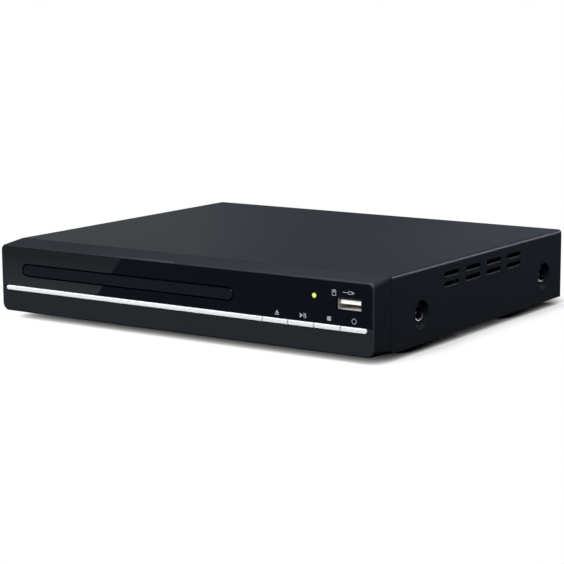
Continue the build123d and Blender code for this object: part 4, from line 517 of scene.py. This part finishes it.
def end_tree(tree: bpy.types.GeometryNodeTree, shape: Socket, finish: Finish) -> None:
    """Close a geometry node tree: make copies real and give them their material.

    Args:
        tree: geometry node tree.
        shape: geometry to finish.
        finish: finish of the result.
    """
    real = add_node(tree, "GeometryNodeRealizeInstances", {}, {0: shape})
    dressed = add_node(tree, "GeometryNodeSetMaterial", {},
                       {0: real.outputs[0], "Material": finish.material()})
    add_node(tree, "NodeGroupOutput", {}, {0: dressed.outputs[0]})


def point_mesh(name: str, places: Sequence[Point], turns: Sequence[Point]) -> bpy.types.Mesh:
    """Make a mesh of loose points that carry a turn each.

    Args:
        name: name of the mesh.
        places: positions in millimetres.
        turns: turns in degrees about x, y and z.

    Returns:
        Mesh with a vector attribute called turn.
    """
    mesh = bpy.data.meshes.new(name)
    mesh.from_pydata([tuple(value * MM for value in place) for place in places], [], [])
    attribute = mesh.attributes.new("turn", "FLOAT_VECTOR", "POINT")
    for item, turn in zip(attribute.data, turns):
        item.vector = [math.radians(value) for value in turn]
    return mesh


@dataclass
class CoverScrews:
    """Cross-head screws that hold the cover, in millimetres.

    Attributes:
        side_x: middle plane to the floor of a dimple.
        side_y: places along the side.
        side_z: height of the side screws.
        rear_x: middle plane to a rear screw.
        rear_y: face of the rear lip.
        rear_z: height of the rear screws.
        side_head: radius and height of a side screw's head.
        rear_head: radius and height of a rear screw's head.
        shank_r: radius of the shank.
        shank_l: length of the shank.
        rim_share: share of a head's height below its dome.
        dome_rings: rings of a dome.
        dome_turn: how far a dome turns in from its rim, in radians.
        head_sides: sides of a head.
        shank_sides: sides of a shank.
        recess: length and width of the cross in head radii, and its height in head heights.
        weld: distance within which corners of a head are one.
        side_turn: turn of the first side screw and the step to the next, in degrees.
        rear_turn: turn of the first rear screw and the step to the next, in degrees.
    """

    side_x: float = 110.3
    side_y: tuple[float, float] = (-57.05, 70.45)
    side_z: float = 18.0
    rear_x: float = 74.0
    rear_y: float = 90.95
    rear_z: float = 35.5
    side_head: tuple[float, float] = (3.6, 1.9)
    rear_head: tuple[float, float] = (3.0, 1.7)
    shank_r: float = 1.45
    shank_l: float = 4.8
    rim_share: float = 0.25
    dome_rings: int = 6
    dome_turn: float = 1.25
    head_sides: int = 40
    shank_sides: int = 20
    recess: Point = (1.05, 0.24, 1.2)
    weld: float = 0.01
    side_turn: tuple[float, float] = (12.0, 25.0)
    rear_turn: tuple[float, float] = (20.0, 31.0)

    def profile(self) -> list[tuple[float, float]]:
        """Give a head's outline from its foot to its top, in shares of its radius and height."""
        steps = [(1.0, 0.0)]
        for step in range(self.dome_rings + 1):
            turn = self.dome_turn * step / self.dome_rings
            rise = math.sin(turn) / math.sin(self.dome_turn)
            steps.append((math.cos(turn), self.rim_share + (1.0 - self.rim_share) * rise))
        return steps

    def head(self, tree: Tree, radius: Socket, height: Socket) -> Socket:
        """Build a domed head with a crossed recess.

        Args:
            tree: the screw's node tree.
            radius: radius of the head.
            height: height of the head.

        Returns:
            Output with the head, which stands on zero.
        """
        steps = self.profile()
        size = add_node(tree, "ShaderNodeCombineXYZ", {}, {"X": radius, "Y": radius, "Z": height})
        crown = add_node(tree, "ShaderNodeCombineXYZ", {}, {"Z": height})
        shapes = []
        for (wide, low), (narrow, high) in zip(steps, steps[1:]):
            scaled, up = (add_node(tree, "ShaderNodeVectorMath", {"operation": "MULTIPLY"},
                                   {0: size.outputs[0], 1: shares})
                          for shares in ((wide, narrow, high - low), (0.0, 0.0, low)))
            bottom, top, depth = add_node(tree, "ShaderNodeSeparateXYZ", {}, {0: scaled.outputs[0]}).outputs
            ring = add_node(tree, "GeometryNodeMeshCone", {"fill_type": "NONE"},
                            {"Vertices": self.head_sides, "Radius Bottom": bottom, "Radius Top": top,
                             "Depth": depth})
            raised = add_node(tree, "GeometryNodeTransform", {},
                              {0: ring.outputs["Mesh"], "Translation": up.outputs[0]})
            shapes.append(raised.outputs[0])
        cap, under = (add_node(tree, "GeometryNodeMeshCircle", {"fill_type": "NGON"},
                               {"Vertices": self.head_sides, "Radius": reach}) for reach in (top, radius))
        raised = add_node(tree, "GeometryNodeTransform", {},
                          {0: cap.outputs[0], "Translation": crown.outputs[0]})
        turned_over = add_node(tree, "GeometryNodeFlipFaces", {}, {0: under.outputs[0]})
        shapes += [raised.outputs[0], turned_over.outputs[0]]
        whole = add_node(tree, "GeometryNodeJoinGeometry", {}, {0: shapes})
        solid = add_node(tree, "GeometryNodeMergeByDistance", {},
                         {0: whole.outputs[0], "Distance": self.weld * MM})
        wing, thin, deep = self.recess
        bars = []
        for shares in ((wing, thin, deep), (thin, wing, deep)):
            scaled = add_node(tree, "ShaderNodeVectorMath", {"operation": "MULTIPLY"},
                              {0: size.outputs[0], 1: shares})
            bar = add_node(tree, "GeometryNodeMeshCube", {}, {"Size": scaled.outputs[0]})
            raised = add_node(tree, "GeometryNodeTransform", {},
                              {0: bar.outputs["Mesh"], "Translation": crown.outputs[0]})
            bars.append(raised.outputs[0])
        cut = add_node(tree, "GeometryNodeMeshBoolean", {"operation": "DIFFERENCE"},
                       {0: solid.outputs[0], 1: bars})
        return cut.outputs[0]

    def tree(self) -> bpy.types.GeometryNodeTree:
        """Build the tree of one screw, set on every point."""
        names = ("Head radius", "Head height", "Shank radius", "Shank length")
        tree, given = new_tree("cross_head_screw", names)
        radius, height, shank_radius, shank_length = (given.outputs[name] for name in names)
        shank = add_node(tree, "GeometryNodeMeshCylinder", {},
                         {"Vertices": self.shank_sides, "Radius": shank_radius, "Depth": shank_length})
        half = add_node(tree, "ShaderNodeMath", {"operation": "MULTIPLY"}, {0: shank_length, 1: -0.5})
        down = add_node(tree, "ShaderNodeCombineXYZ", {}, {"Z": half.outputs[0]})
        sunk = add_node(tree, "GeometryNodeTransform", {},
                        {0: shank.outputs["Mesh"], "Translation": down.outputs[0]})
        screw = add_node(tree, "GeometryNodeJoinGeometry", {},
                         {0: [self.head(tree, radius, height), sunk.outputs[0]]})
        turn = add_node(tree, "GeometryNodeInputNamedAttribute", {"data_type": "FLOAT_VECTOR"},
                        {"Name": "turn"})
        placed = add_node(tree, "GeometryNodeInstanceOnPoints", {},
                          {"Points": given.outputs["Geometry"], "Instance": screw.outputs[0],
                           "Rotation": turn.outputs[0]})
        end_tree(tree, placed.outputs[0], SCREW_ZINC)
        return tree

    def build(self) -> None:
        """Make the screws and let them stand for the solid ones."""
        tree = self.tree()
        sides = [(side * self.side_x, y, self.side_z) for side in (-1, 1) for y in self.side_y]
        first, step = self.side_turn
        side_turns = [(90.0, first + step * index, side * 90.0) for index, side in enumerate((-1, -1, 1, 1))]
        rears = [(side * self.rear_x, self.rear_y, self.rear_z) for side in (-1, 1)]
        first, step = self.rear_turn
        rear_turns = [(-90.0, first + step * index, 0.0) for index in range(2)]
        whole = bmesh.new()
        for name, places, turns, head in (("side", sides, side_turns, self.side_head),
                                          ("rear", rears, rear_turns, self.rear_head)):
            sizes = {"Head radius": head[0] * MM, "Head height": head[1] * MM,
                     "Shank radius": self.shank_r * MM, "Shank length": self.shank_l * MM}
            whole.from_mesh(bake_tree(name, point_mesh(name, places, turns), tree, sizes))
        mesh = mesh_of("cross_head_screws", whole, SCREW_ZINC.material())
        piece = add_piece("cross_head_screws", mesh, CASE)
        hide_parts("cover_screws")


@dataclass
class ContactRow:
    """Row of flat contacts on a socket's tongue, in millimetres.

    Attributes:
        name: name of the piece.
        middle: middle of the row.
        pitch: distance from one contact to the next.
        count: number of contacts.
        size: width, length and thickness of a contact.
    """

    name: str
    middle: Point
    pitch: float
    count: int
    size: Point

    def build(self) -> None:
        """Lay the contacts along x and bake them."""
        names = ("Width", "Length", "Thickness")
        tree, given = new_tree(self.name + "_row", names)
        size = add_node(tree, "ShaderNodeCombineXYZ", {},
                        {axis: given.outputs[name] for axis, name in zip("XYZ", names)})
        strip = add_node(tree, "GeometryNodeMeshCube", {}, {"Size": size.outputs[0]})
        placed = add_node(tree, "GeometryNodeInstanceOnPoints", {},
                          {"Points": given.outputs["Geometry"], "Instance": strip.outputs["Mesh"]})
        end_tree(tree, placed.outputs[0], GOLD_FLASH)
        x, y, z = self.middle
        places = [(x + (index - (self.count - 1) / 2.0) * self.pitch, y, z) for index in range(self.count)]
        points = point_mesh(self.name, places, [(0.0, 0.0, 0.0)] * self.count)
        sizes = {name: value * MM for name, value in zip(names, self.size)}
        mesh = bake_tree(self.name, points, tree, sizes)
        add_piece(self.name, mesh, CASE)


@dataclass
class Printing:
    """Plain signs printed on the gloss face, in millimetres.

    Attributes:
        face_y: the gloss face.
        film: thickness of the ink.
        row_z: height of the signs above the buttons.
        columns: places of the open, play, stop and power signs.
        sign: height of a sign.
        open_bar: height of the open sign's bar and of the gap over it.
        play_wedge: left and right end of the play sign's wedge, from its column.
        pause_bars: middles of the bars beside the wedge, from its column.
        pause_w: width of such a bar.
        stop_side: side of the stop sign.
        ring_line: width of the power ring's line.
        ring_steps: patches of the power ring.
        line: width of the other lines.
        card: place of the storage card sign.
        card_size: width and height of the card.
        card_chip: width and height of the mark on the card.
        chip_up: middle of the card to the middle of its mark.
        plug: place of the plug sign over the socket, where its wire ends.
        wire: length of the wire.
        plug_body: length and height of the plug's body.
        plug_tip: length and height of the plug's tip.
        weld: distance within which corners are one.
        outlines: corners of every patch of ink.
    """

    face_y: float = -99.05
    film: float = 0.03
    row_z: float = 20.4
    columns: tuple[float, float, float, float] = (59.9, 74.2, 88.5, 101.9)
    sign: float = 2.3
    open_bar: tuple[float, float] = (0.5, 0.4)
    play_wedge: tuple[float, float] = (-1.7, 0.2)
    pause_bars: tuple[float, float] = (0.75, 1.55)
    pause_w: float = 0.45
    stop_side: float = 2.07
    ring_line: float = 0.26
    ring_steps: int = 36
    line: float = 0.3
    card: tuple[float, float] = (91.2, 32.6)
    card_size: tuple[float, float] = (2.2, 2.8)
    card_chip: tuple[float, float] = (1.0, 0.8)
    chip_up: float = 0.5
    plug: tuple[float, float] = (98.9, 33.2)
    wire: float = 3.0
    plug_body: tuple[float, float] = (2.0, 1.5)
    plug_tip: tuple[float, float] = (1.0, 0.8)
    weld: float = 0.001
    outlines: list[Outline] = field(default_factory=list)

    def bar(self, x: float, z: float, width: float, height: float) -> None:
        """Add a rectangle about a middle.

        Args:
            x: middle across.
            z: middle height.
            width: size across.
            height: size upwards.
        """
        half_w, half_h = width / 2.0, height / 2.0
        self.outlines.append([(x - half_w, z - half_h), (x + half_w, z - half_h), (x + half_w, z + half_h),
                              (x - half_w, z + half_h)])

    def border(self, x: float, z: float, width: float, height: float) -> None:
        """Add the outline of a rectangle about a middle.

        Args:
            x: middle across.
            z: middle height.
            width: size across.
            height: size upwards.
        """
        for side in (-1.0, 1.0):
            self.bar(x, z + side * (height - self.line) / 2.0, width, self.line)
            self.bar(x + side * (width - self.line) / 2.0, z, self.line, height - 2.0 * self.line)

    def ring(self, x: float, z: float, radius: float) -> None:
        """Add a ring as a closed chain of four-cornered patches.

        Args:
            x: middle across.
            z: middle height.
            radius: middle of the line.
        """
        for step in range(self.ring_steps):
            patch = []
            for turn, reach in ((step, -0.5), (step, 0.5), (step + 1, 0.5), (step + 1, -0.5)):
                angle = 2.0 * math.pi * turn / self.ring_steps
                length = radius + reach * self.ring_line
                patch.append((x + length * math.sin(angle), z + length * math.cos(angle)))
            self.outlines.append(patch)

    def button_signs(self) -> None:
        """Draw the signs above the four buttons."""
        opened, play, stop, power = self.columns
        half = self.sign / 2.0
        low = self.row_z - half
        high = low + self.sign
        bar, gap = self.open_bar
        foot = low + bar + gap
        self.outlines.append([(opened - half, foot), (opened + half, foot), (opened, high)])
        self.bar(opened, low + bar / 2.0, self.sign, bar)
        left, right = (play + end for end in self.play_wedge)
        self.outlines.append([(left, low), (right, self.row_z), (left, high)])
        for shift in self.pause_bars:
            self.bar(play + shift, self.row_z, self.pause_w, self.sign)
        self.bar(stop, self.row_z, self.stop_side, self.stop_side)
        self.ring(power, self.row_z, half)

    def socket_signs(self) -> None:
        """Draw the card and the plug above the socket."""
        x, z = self.card
        self.border(x, z, *self.card_size)
        self.bar(x, z + self.chip_up, *self.card_chip)
        x, z = self.plug
        self.bar(x - self.wire / 2.0, z, self.wire, self.line)
        self.border(x + self.plug_body[0] / 2.0, z, *self.plug_body)
        self.bar(x + self.plug_body[0] + self.plug_tip[0] / 2.0, z, *self.plug_tip)

    def build(self) -> None:
        """Give the outlines the thickness of ink and lay them on the face."""
        self.button_signs()
        self.socket_signs()
        shape = bmesh.new()
        for outline in self.outlines:
            corners = [shape.verts.new((x * MM, self.face_y * MM, z * MM)) for x, z in outline]
            shape.faces.new(corners)
        bmesh.ops.remove_doubles(shape, verts=shape.verts, dist=self.weld * MM)
        raised = bmesh.ops.extrude_face_region(shape, geom=list(shape.faces))
        moved = [item for item in raised["geom"] if isinstance(item, bmesh.types.BMVert)]
        bmesh.ops.translate(shape, verts=moved, vec=(0.0, -self.film * MM, 0.0))
        bmesh.ops.recalc_face_normals(shape, faces=shape.faces)
        mesh = mesh_of("face_printing", shape, INK.material())
        add_piece("face_printing", mesh, CASE)


@dataclass
class RearShadeSheet:
    """Dark sheet inside the rear wall, behind its cooling slots, put there as painted shade that keeps the
    inside dark, in millimetres.

    Attributes:
        low: lower corner.
        high: upper corner.
    """

    low: Point = (44.5, 88.85, 19.0)
    high: Point = (77.9, 89.15, 31.5)

    def build(self) -> None:
        """Make the sheet as one thin block."""
        middle = [(a + b) / 2.0 * MM for a, b in zip(self.low, self.high)]
        size = [(b - a) * MM for a, b in zip(self.low, self.high)]
        shape = bmesh.new()
        # Painted shade: a dark block that hides the inside of the case behind the rear slots.
        bmesh.ops.create_cube(shape, size=1.0, matrix=Matrix.LocRotScale(Vector(middle), None, Vector(size)))
        mesh = mesh_of("rear_dust_mesh", shape, REAR_SHADE_FINISH.material())
        add_piece("rear_dust_mesh", mesh, CASE)


# Floor sheets before the face: y of the edges near the part and far from it, and x where two sheets meet
SHEET_NEAR = -0.0995
SHEET_FAR = -0.399
MEET_NEAR = -0.063
MEET_FAR = -0.263


def floor_sheet(near: tuple[float, float], far: tuple[float, float], height: float) -> tuple[Point, ...]:
    """Give the corners of a floor sheet from the left and right ends of its two edges, in metres."""
    return ((near[0], SHEET_NEAR, height), (near[1], SHEET_NEAR, height),
            (far[1], SHEET_FAR, height), (far[0], SHEET_FAR, height))


def level(left: float, right: float, front: float, back: float, height: float) -> tuple[Point, ...]:
    """Give the corners of a level sheet, in metres."""
    return ((left, front, height), (right, front, height), (right, back, height), (left, back, height))


def upright(left: float, right: float, depth: float, low: float, high: float) -> tuple[Point, ...]:
    """Give the corners of a sheet that stands across the view, in metres."""
    return ((left, depth, low), (right, depth, low), (right, depth, high), (left, depth, high))


@dataclass(frozen=True)
class Card:
    """Flat sheet that only shows in reflections.

    Attributes:
        name: name of the sheet.
        corners: corners in metres.
        strength: brightness of the sheet.
        tint: colour of the sheet.
        only: pieces that mirror it, or all of them if none is named.
        rise: far y, near y and the brightness reached at the near one, if it isn't even.
    """

    name: str
    corners: tuple[Point, ...]
    strength: float
    tint: str = "#e8f2ff"
    only: tuple[str, ...] = ()
    rise: Optional[Point] = None


@dataclass(frozen=True)
class SoftBox:
    """Area light.

    Attributes:
        name: name of the light.
        place: position in metres.
        target: point that it faces.
        size: width and height in metres.
        watts: power.
        mirrored: whether gloss surfaces reflect it.
        only: pieces that it lights, or all of them if none is named.
    """

    name: str
    place: Point
    target: Point
    size: tuple[float, float]
    watts: float
    mirrored: bool = True
    only: tuple[str, ...] = ()


FACE = ("fascia_panel",)
DOOR = ("tray_door",)
COVER = ("top_cover",)
BEZEL = ("front_bezel",)


@dataclass
class Studio:
    """Floor, lights and camera.

    Attributes:
        eye: camera position in metres.
        azimuth: camera's turn about z, in degrees.
        elevation: camera's height, in degrees.
        roll: camera's roll, in degrees.
        lens: focal length in millimetres.
        sensor: width of the picture in the camera, in millimetres.
        nearest: distance in metres from which the camera sees.
        sky: brightness of the light straight above.
        sky_power: how fast that light fades towards the horizon.
        sky_tint: colour of that light.
        far: how far the floor and the wall round it reach, in metres.
        far_right: reach of the floor to the right, which keeps the seam in it out of view.
        shade_reach: how far the paper looks for what covers it, in metres.
        shade_lean: direction about which the painted shadow looks for cover, as if most light came from
            there.
        shade_span: open shares at which the paper is black and white.
        shade_power: how fast it darkens in between.
        shade_samples: directions that are tried at each spot.
        boxes: lamps.
        cards: sheets that show in reflections, at different heights where one covers another.
    """

    eye: Point = (0.5146, -0.75665, 0.1722)
    azimuth: float = 34.49
    elevation: float = 9.77
    roll: float = -0.37
    lens: float = 112.49
    sensor: float = 36.0
    nearest: float = 0.01
    sky: float = 3.6
    sky_power: float = 2.0
    sky_tint: str = "#f8fbff"
    far: float = 60.0
    far_right: float = 90.0
    shade_reach: float = 0.04
    shade_lean: Point = (-0.159, -0.903, 0.4)
    shade_span: tuple[float, float] = (0.4, 0.71)
    shade_power: float = 1.2
    shade_samples: int = 32
    boxes: tuple[SoftBox, ...] = (
        SoftBox("front_left", (-1.7, -2.1, 1.3), (0.0, -0.1, 0.02), (1.6, 1.2), 135.0, mirrored=False),
        SoftBox("rear", (0.3, 1.6, 0.9), (0.0, 0.0, 0.02), (1.4, 0.7), 16.0, mirrored=False),
        SoftBox("screw_glint", (0.117, 0.0, 0.001), (0.117, 0.0, 1.0), (0.0075, 0.21), 0.005,
                only=("cross_head_screws",)),
    )
    cards: tuple[Card, ...] = (
        Card("dome_front", upright(-3.0, 3.0, -1.6, 0.0, 2.5), 0.12),
        Card("left_sheet", floor_sheet((-0.9, MEET_NEAR), (-0.9, MEET_FAR), 0.0004), 0.332, only=FACE,
             rise=(-0.2615, -0.1715, 0.62)),
        Card("right_sheet", floor_sheet((MEET_NEAR, 0.4), (MEET_FAR, 0.4), 0.0003), 0.145, "#b4c6ff", FACE),
        Card("door_sheet", floor_sheet((-0.9, 0.4), (-0.9, 0.4), 0.0007), 0.27, "#c7dcff", DOOR),
        Card("far_left", ((-2.5, 0.0, 0.0), (-2.5, 2.2, 0.0), (-2.5, 2.2, 2.0), (-2.5, 0.0, 2.0)), 0.32,
             only=COVER),
        Card("back_left", upright(-2.5, -1.65, 2.2, 0.0, 2.0), 0.24, "#ecf6f0", COVER),
        Card("back_mid", upright(-1.65, -1.15, 2.2, 0.0, 2.0), 0.1, only=COVER),
        Card("back_right", upright(-1.15, 2.5, 2.2, 0.0, 2.0), 0.215, only=COVER),
        Card("side_sheet", level(0.13, 1.2, -0.1, 1.2, 0.0003), 0.036, "#7f9bff", COVER),
        Card("cheek_sheet", level(0.13, 1.2, -0.1, 1.2, 0.0005), 0.06, "#8fa4ff", BEZEL),
        Card("edge_glint", upright(0.72, 1.2, 1.6, 0.42, 0.82), 11.0, only=COVER),
        Card("brow_glint", level(-0.02, 0.3, -0.25, -0.02, 0.28), 3.1, only=BEZEL),
        Card("corner_glint", ((0.1, -0.85, 0.55), (0.7, -0.85, 0.55), (0.7, -0.55, 1.0), (0.1, -0.55, 1.0)),
             6.0, only=BEZEL + FACE + DOOR),
        Card("edge_sheet", level(0.13, 0.5, -0.5, -0.11, 0.0006), 0.8, only=BEZEL),
    )

    def plain(self, name: str, corners: Sequence[Point]) -> bpy.types.Object:
        """Make a flat four-cornered sheet of the stage.

        Args:
            name: name of the sheet.
            corners: corners in metres.

        Returns:
            The sheet's object.
        """
        mesh = bpy.data.meshes.new(name)
        mesh.from_pydata(list(corners), [], [tuple(range(len(corners)))])
        sheet = new_object(name, mesh)
        return sheet

    def paper(self) -> bpy.types.Material:
        """Make white glowing paper with a painted shadow: its glow dims where nearby pieces cover it, looking
        about a leaning direction.
        """
        made = self.glow("white_paper", "#ffffff", 1.0)
        tree = made.node_tree
        lean = add_node(tree, "ShaderNodeCombineXYZ", {}, dict(enumerate(self.shade_lean)))
        # Painted shadow: the paper's glow follows how open it is to a leaning half of the sky, cut off at a
        # short reach.
        opened = add_node(tree, "ShaderNodeAmbientOcclusion", {"samples": self.shade_samples},
                          {"Distance": self.shade_reach, "Normal": lean.outputs[0]})
        black, white = self.shade_span
        share = add_node(tree, "ShaderNodeMapRange", {}, {0: opened.outputs["AO"], 1: black, 2: white})
        spread = add_node(tree, "ShaderNodeMath", {"operation": "POWER"},
                          {0: share.outputs[0], 1: self.shade_power})
        tree.links.new(spread.outputs[0], tree.nodes["Emission"].inputs["Strength"])
        return made

    def floor(self) -> None:
        """Lay a wide white floor and stand a white wall far round it."""
        sheet = self.plain("floor", level(-self.far, self.far_right, -self.far, self.far, 0.0))
        sheet.data.materials.append(self.paper())
        hide_from(sheet, ("glossy", "diffuse"))
        wall = bmesh.new()
        bmesh.ops.create_icosphere(wall, subdivisions=3, radius=self.far)
        dome = new_object("white_wall", mesh_of("white_wall", wall, self.glow("white_wall", "#ffffff", 1.0)))
        hide_from(dome, ("diffuse", "glossy", "shadow", "transmission"))

    def glow(self, name: str, tint: str, strength: float, sheer: bool = False) -> bpy.types.Material:
        """Make an evenly lit material.

        Args:
            name: name of the material.
            tint: colour of the light.
            strength: brightness.
            sheer: whether what lies behind shows through.

        Returns:
            The material.
        """
        lit = bpy.data.materials.new(name)
        lit.use_nodes = True
        tree = lit.node_tree
        tree.nodes.clear()
        light = add_node(tree, "ShaderNodeEmission", {}, {"Color": linear(tint), "Strength": strength})
        if sheer:
            gap = add_node(tree, "ShaderNodeBsdfTransparent", {}, {})
            light = add_node(tree, "ShaderNodeAddShader", {}, {0: light.outputs[0], 1: gap.outputs[0]})
        add_node(tree, "ShaderNodeOutputMaterial", {}, {0: light.outputs[0]})
        return lit

    def aim_at(self, source: bpy.types.Object, only: Sequence[str]) -> None:
        """Let a lamp or a sheet reach some pieces alone.

        Args:
            source: the lamp or sheet.
            only: names of the pieces, or nothing for all of them.
        """
        if not only:
            return
        group = bpy.data.collections.new(source.name)
        for name in only:
            group.objects.link(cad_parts.get(name) or bpy.data.objects[name])
        source.light_linking.receiver_collection = group

    def brighten(self, lit: bpy.types.Material, start: float, rise: Point) -> None:
        """Let a sheet grow brighter towards the part.

        Args:
            lit: the sheet's material.
            start: brightness at the far y and beyond.
            rise: far y, near y and the brightness reached at the near one.
        """
        far, near, most = rise
        tree = lit.node_tree
        place = add_node(tree, "ShaderNodeTexCoord", {}, {}).outputs["Object"]
        depth = add_node(tree, "ShaderNodeSeparateXYZ", {}, {0: place}).outputs["Y"]
        ramp = add_node(tree, "ShaderNodeMapRange", {}, {0: depth, 1: far, 2: near, 3: start, 4: most})
        tree.links.new(ramp.outputs[0], tree.nodes["Emission"].inputs["Strength"])

    def reflections(self) -> None:
        """Set up the sheets that the gloss surfaces mirror."""
        for card in self.cards:
            sheet = self.plain(card.name, card.corners)
            lit = self.glow(card.name, card.tint, card.strength, True)
            if card.rise is not None:
                self.brighten(lit, card.strength, card.rise)
            sheet.data.materials.append(lit)
            hide_from(sheet, ("camera", "diffuse", "shadow", "transmission"))
            self.aim_at(sheet, card.only)

    def lights(self) -> None:
        """Hang the soft boxes and set the surrounding light."""
        for box in self.boxes:
            data = bpy.data.lights.new(box.name, "AREA")
            data.shape = "RECTANGLE"
            data.size, data.size_y = box.size
            data.energy = box.watts
            lamp = new_object(box.name, data)
            lamp.location = box.place
            aim = Vector(box.target) - Vector(box.place)
            lamp.rotation_euler = aim.to_track_quat("-Z", "Y").to_euler()
            lamp.visible_glossy = box.mirrored
            hide_from(lamp, ("camera",))
            self.aim_at(lamp, box.only)
        world = bpy.data.worlds.new("surroundings")
        world.use_nodes = True
        tree = world.node_tree
        aim = add_node(tree, "ShaderNodeTexCoord", {}, {}).outputs["Generated"]
        bright = add_node(tree, "ShaderNodeSeparateXYZ", {}, {0: aim}).outputs["Z"]
        for operation, value in (("MAXIMUM", 0.0), ("POWER", self.sky_power), ("MULTIPLY", self.sky)):
            step = add_node(tree, "ShaderNodeMath", {"operation": operation}, {0: bright, 1: value})
            bright = step.outputs[0]
        tree.nodes["Background"].inputs["Color"].default_value = linear(self.sky_tint)
        tree.links.new(bright, tree.nodes["Background"].inputs["Strength"])
        bpy.context.scene.world = world
        world.cycles_visibility.glossy = False
        bpy.context.scene.view_settings.view_transform = "Standard"

    def camera(self) -> None:
        """Set the camera at the photograph's angle."""
        turn, tilt, roll = (math.radians(value) for value in (self.azimuth, self.elevation, self.roll))
        right = Vector((math.cos(turn), math.sin(turn), 0.0))
        back = Vector((math.sin(turn) * math.cos(tilt), -math.cos(turn) * math.cos(tilt), math.sin(tilt)))
        up = back.cross(right)
        across = right * math.cos(roll) + up * math.sin(roll)
        upward = up * math.cos(roll) - right * math.sin(roll)
        data = bpy.data.cameras.new("camera")
        data.lens = self.lens
        data.sensor_width = self.sensor
        data.clip_start = self.nearest
        eye = new_object("camera", data)
        axes = Matrix((across, upward, back)).transposed().to_4x4()
        axes.translation = Vector(self.eye)
        eye.matrix_world = axes
        bpy.context.scene.camera = eye

    def build(self) -> None:
        """Build the whole studio."""
        self.camera()
        self.floor()
        self.reflections()
        self.lights()


def main() -> None:
    """Build the looks in order."""
    logging.basicConfig(level=logging.INFO, format="%(name)s: %(message)s")
    dress_nodes()
    CoverScrews().build()
    Printing().build()
    ContactRow("front_socket_contacts", middle=(99.25, -92.6, 27.75), pitch=2.5, count=4,
               size=(1.0, 8.0, 0.1)).build()
    ContactRow("rear_socket_contacts", middle=(-84.5, 86.5, 17.42), pitch=1.0, count=10,
               size=(0.45, 5.0, 0.1)).build()
    RearShadeSheet().build()
    Studio().build()


if __name__ == "__main__":
    main()
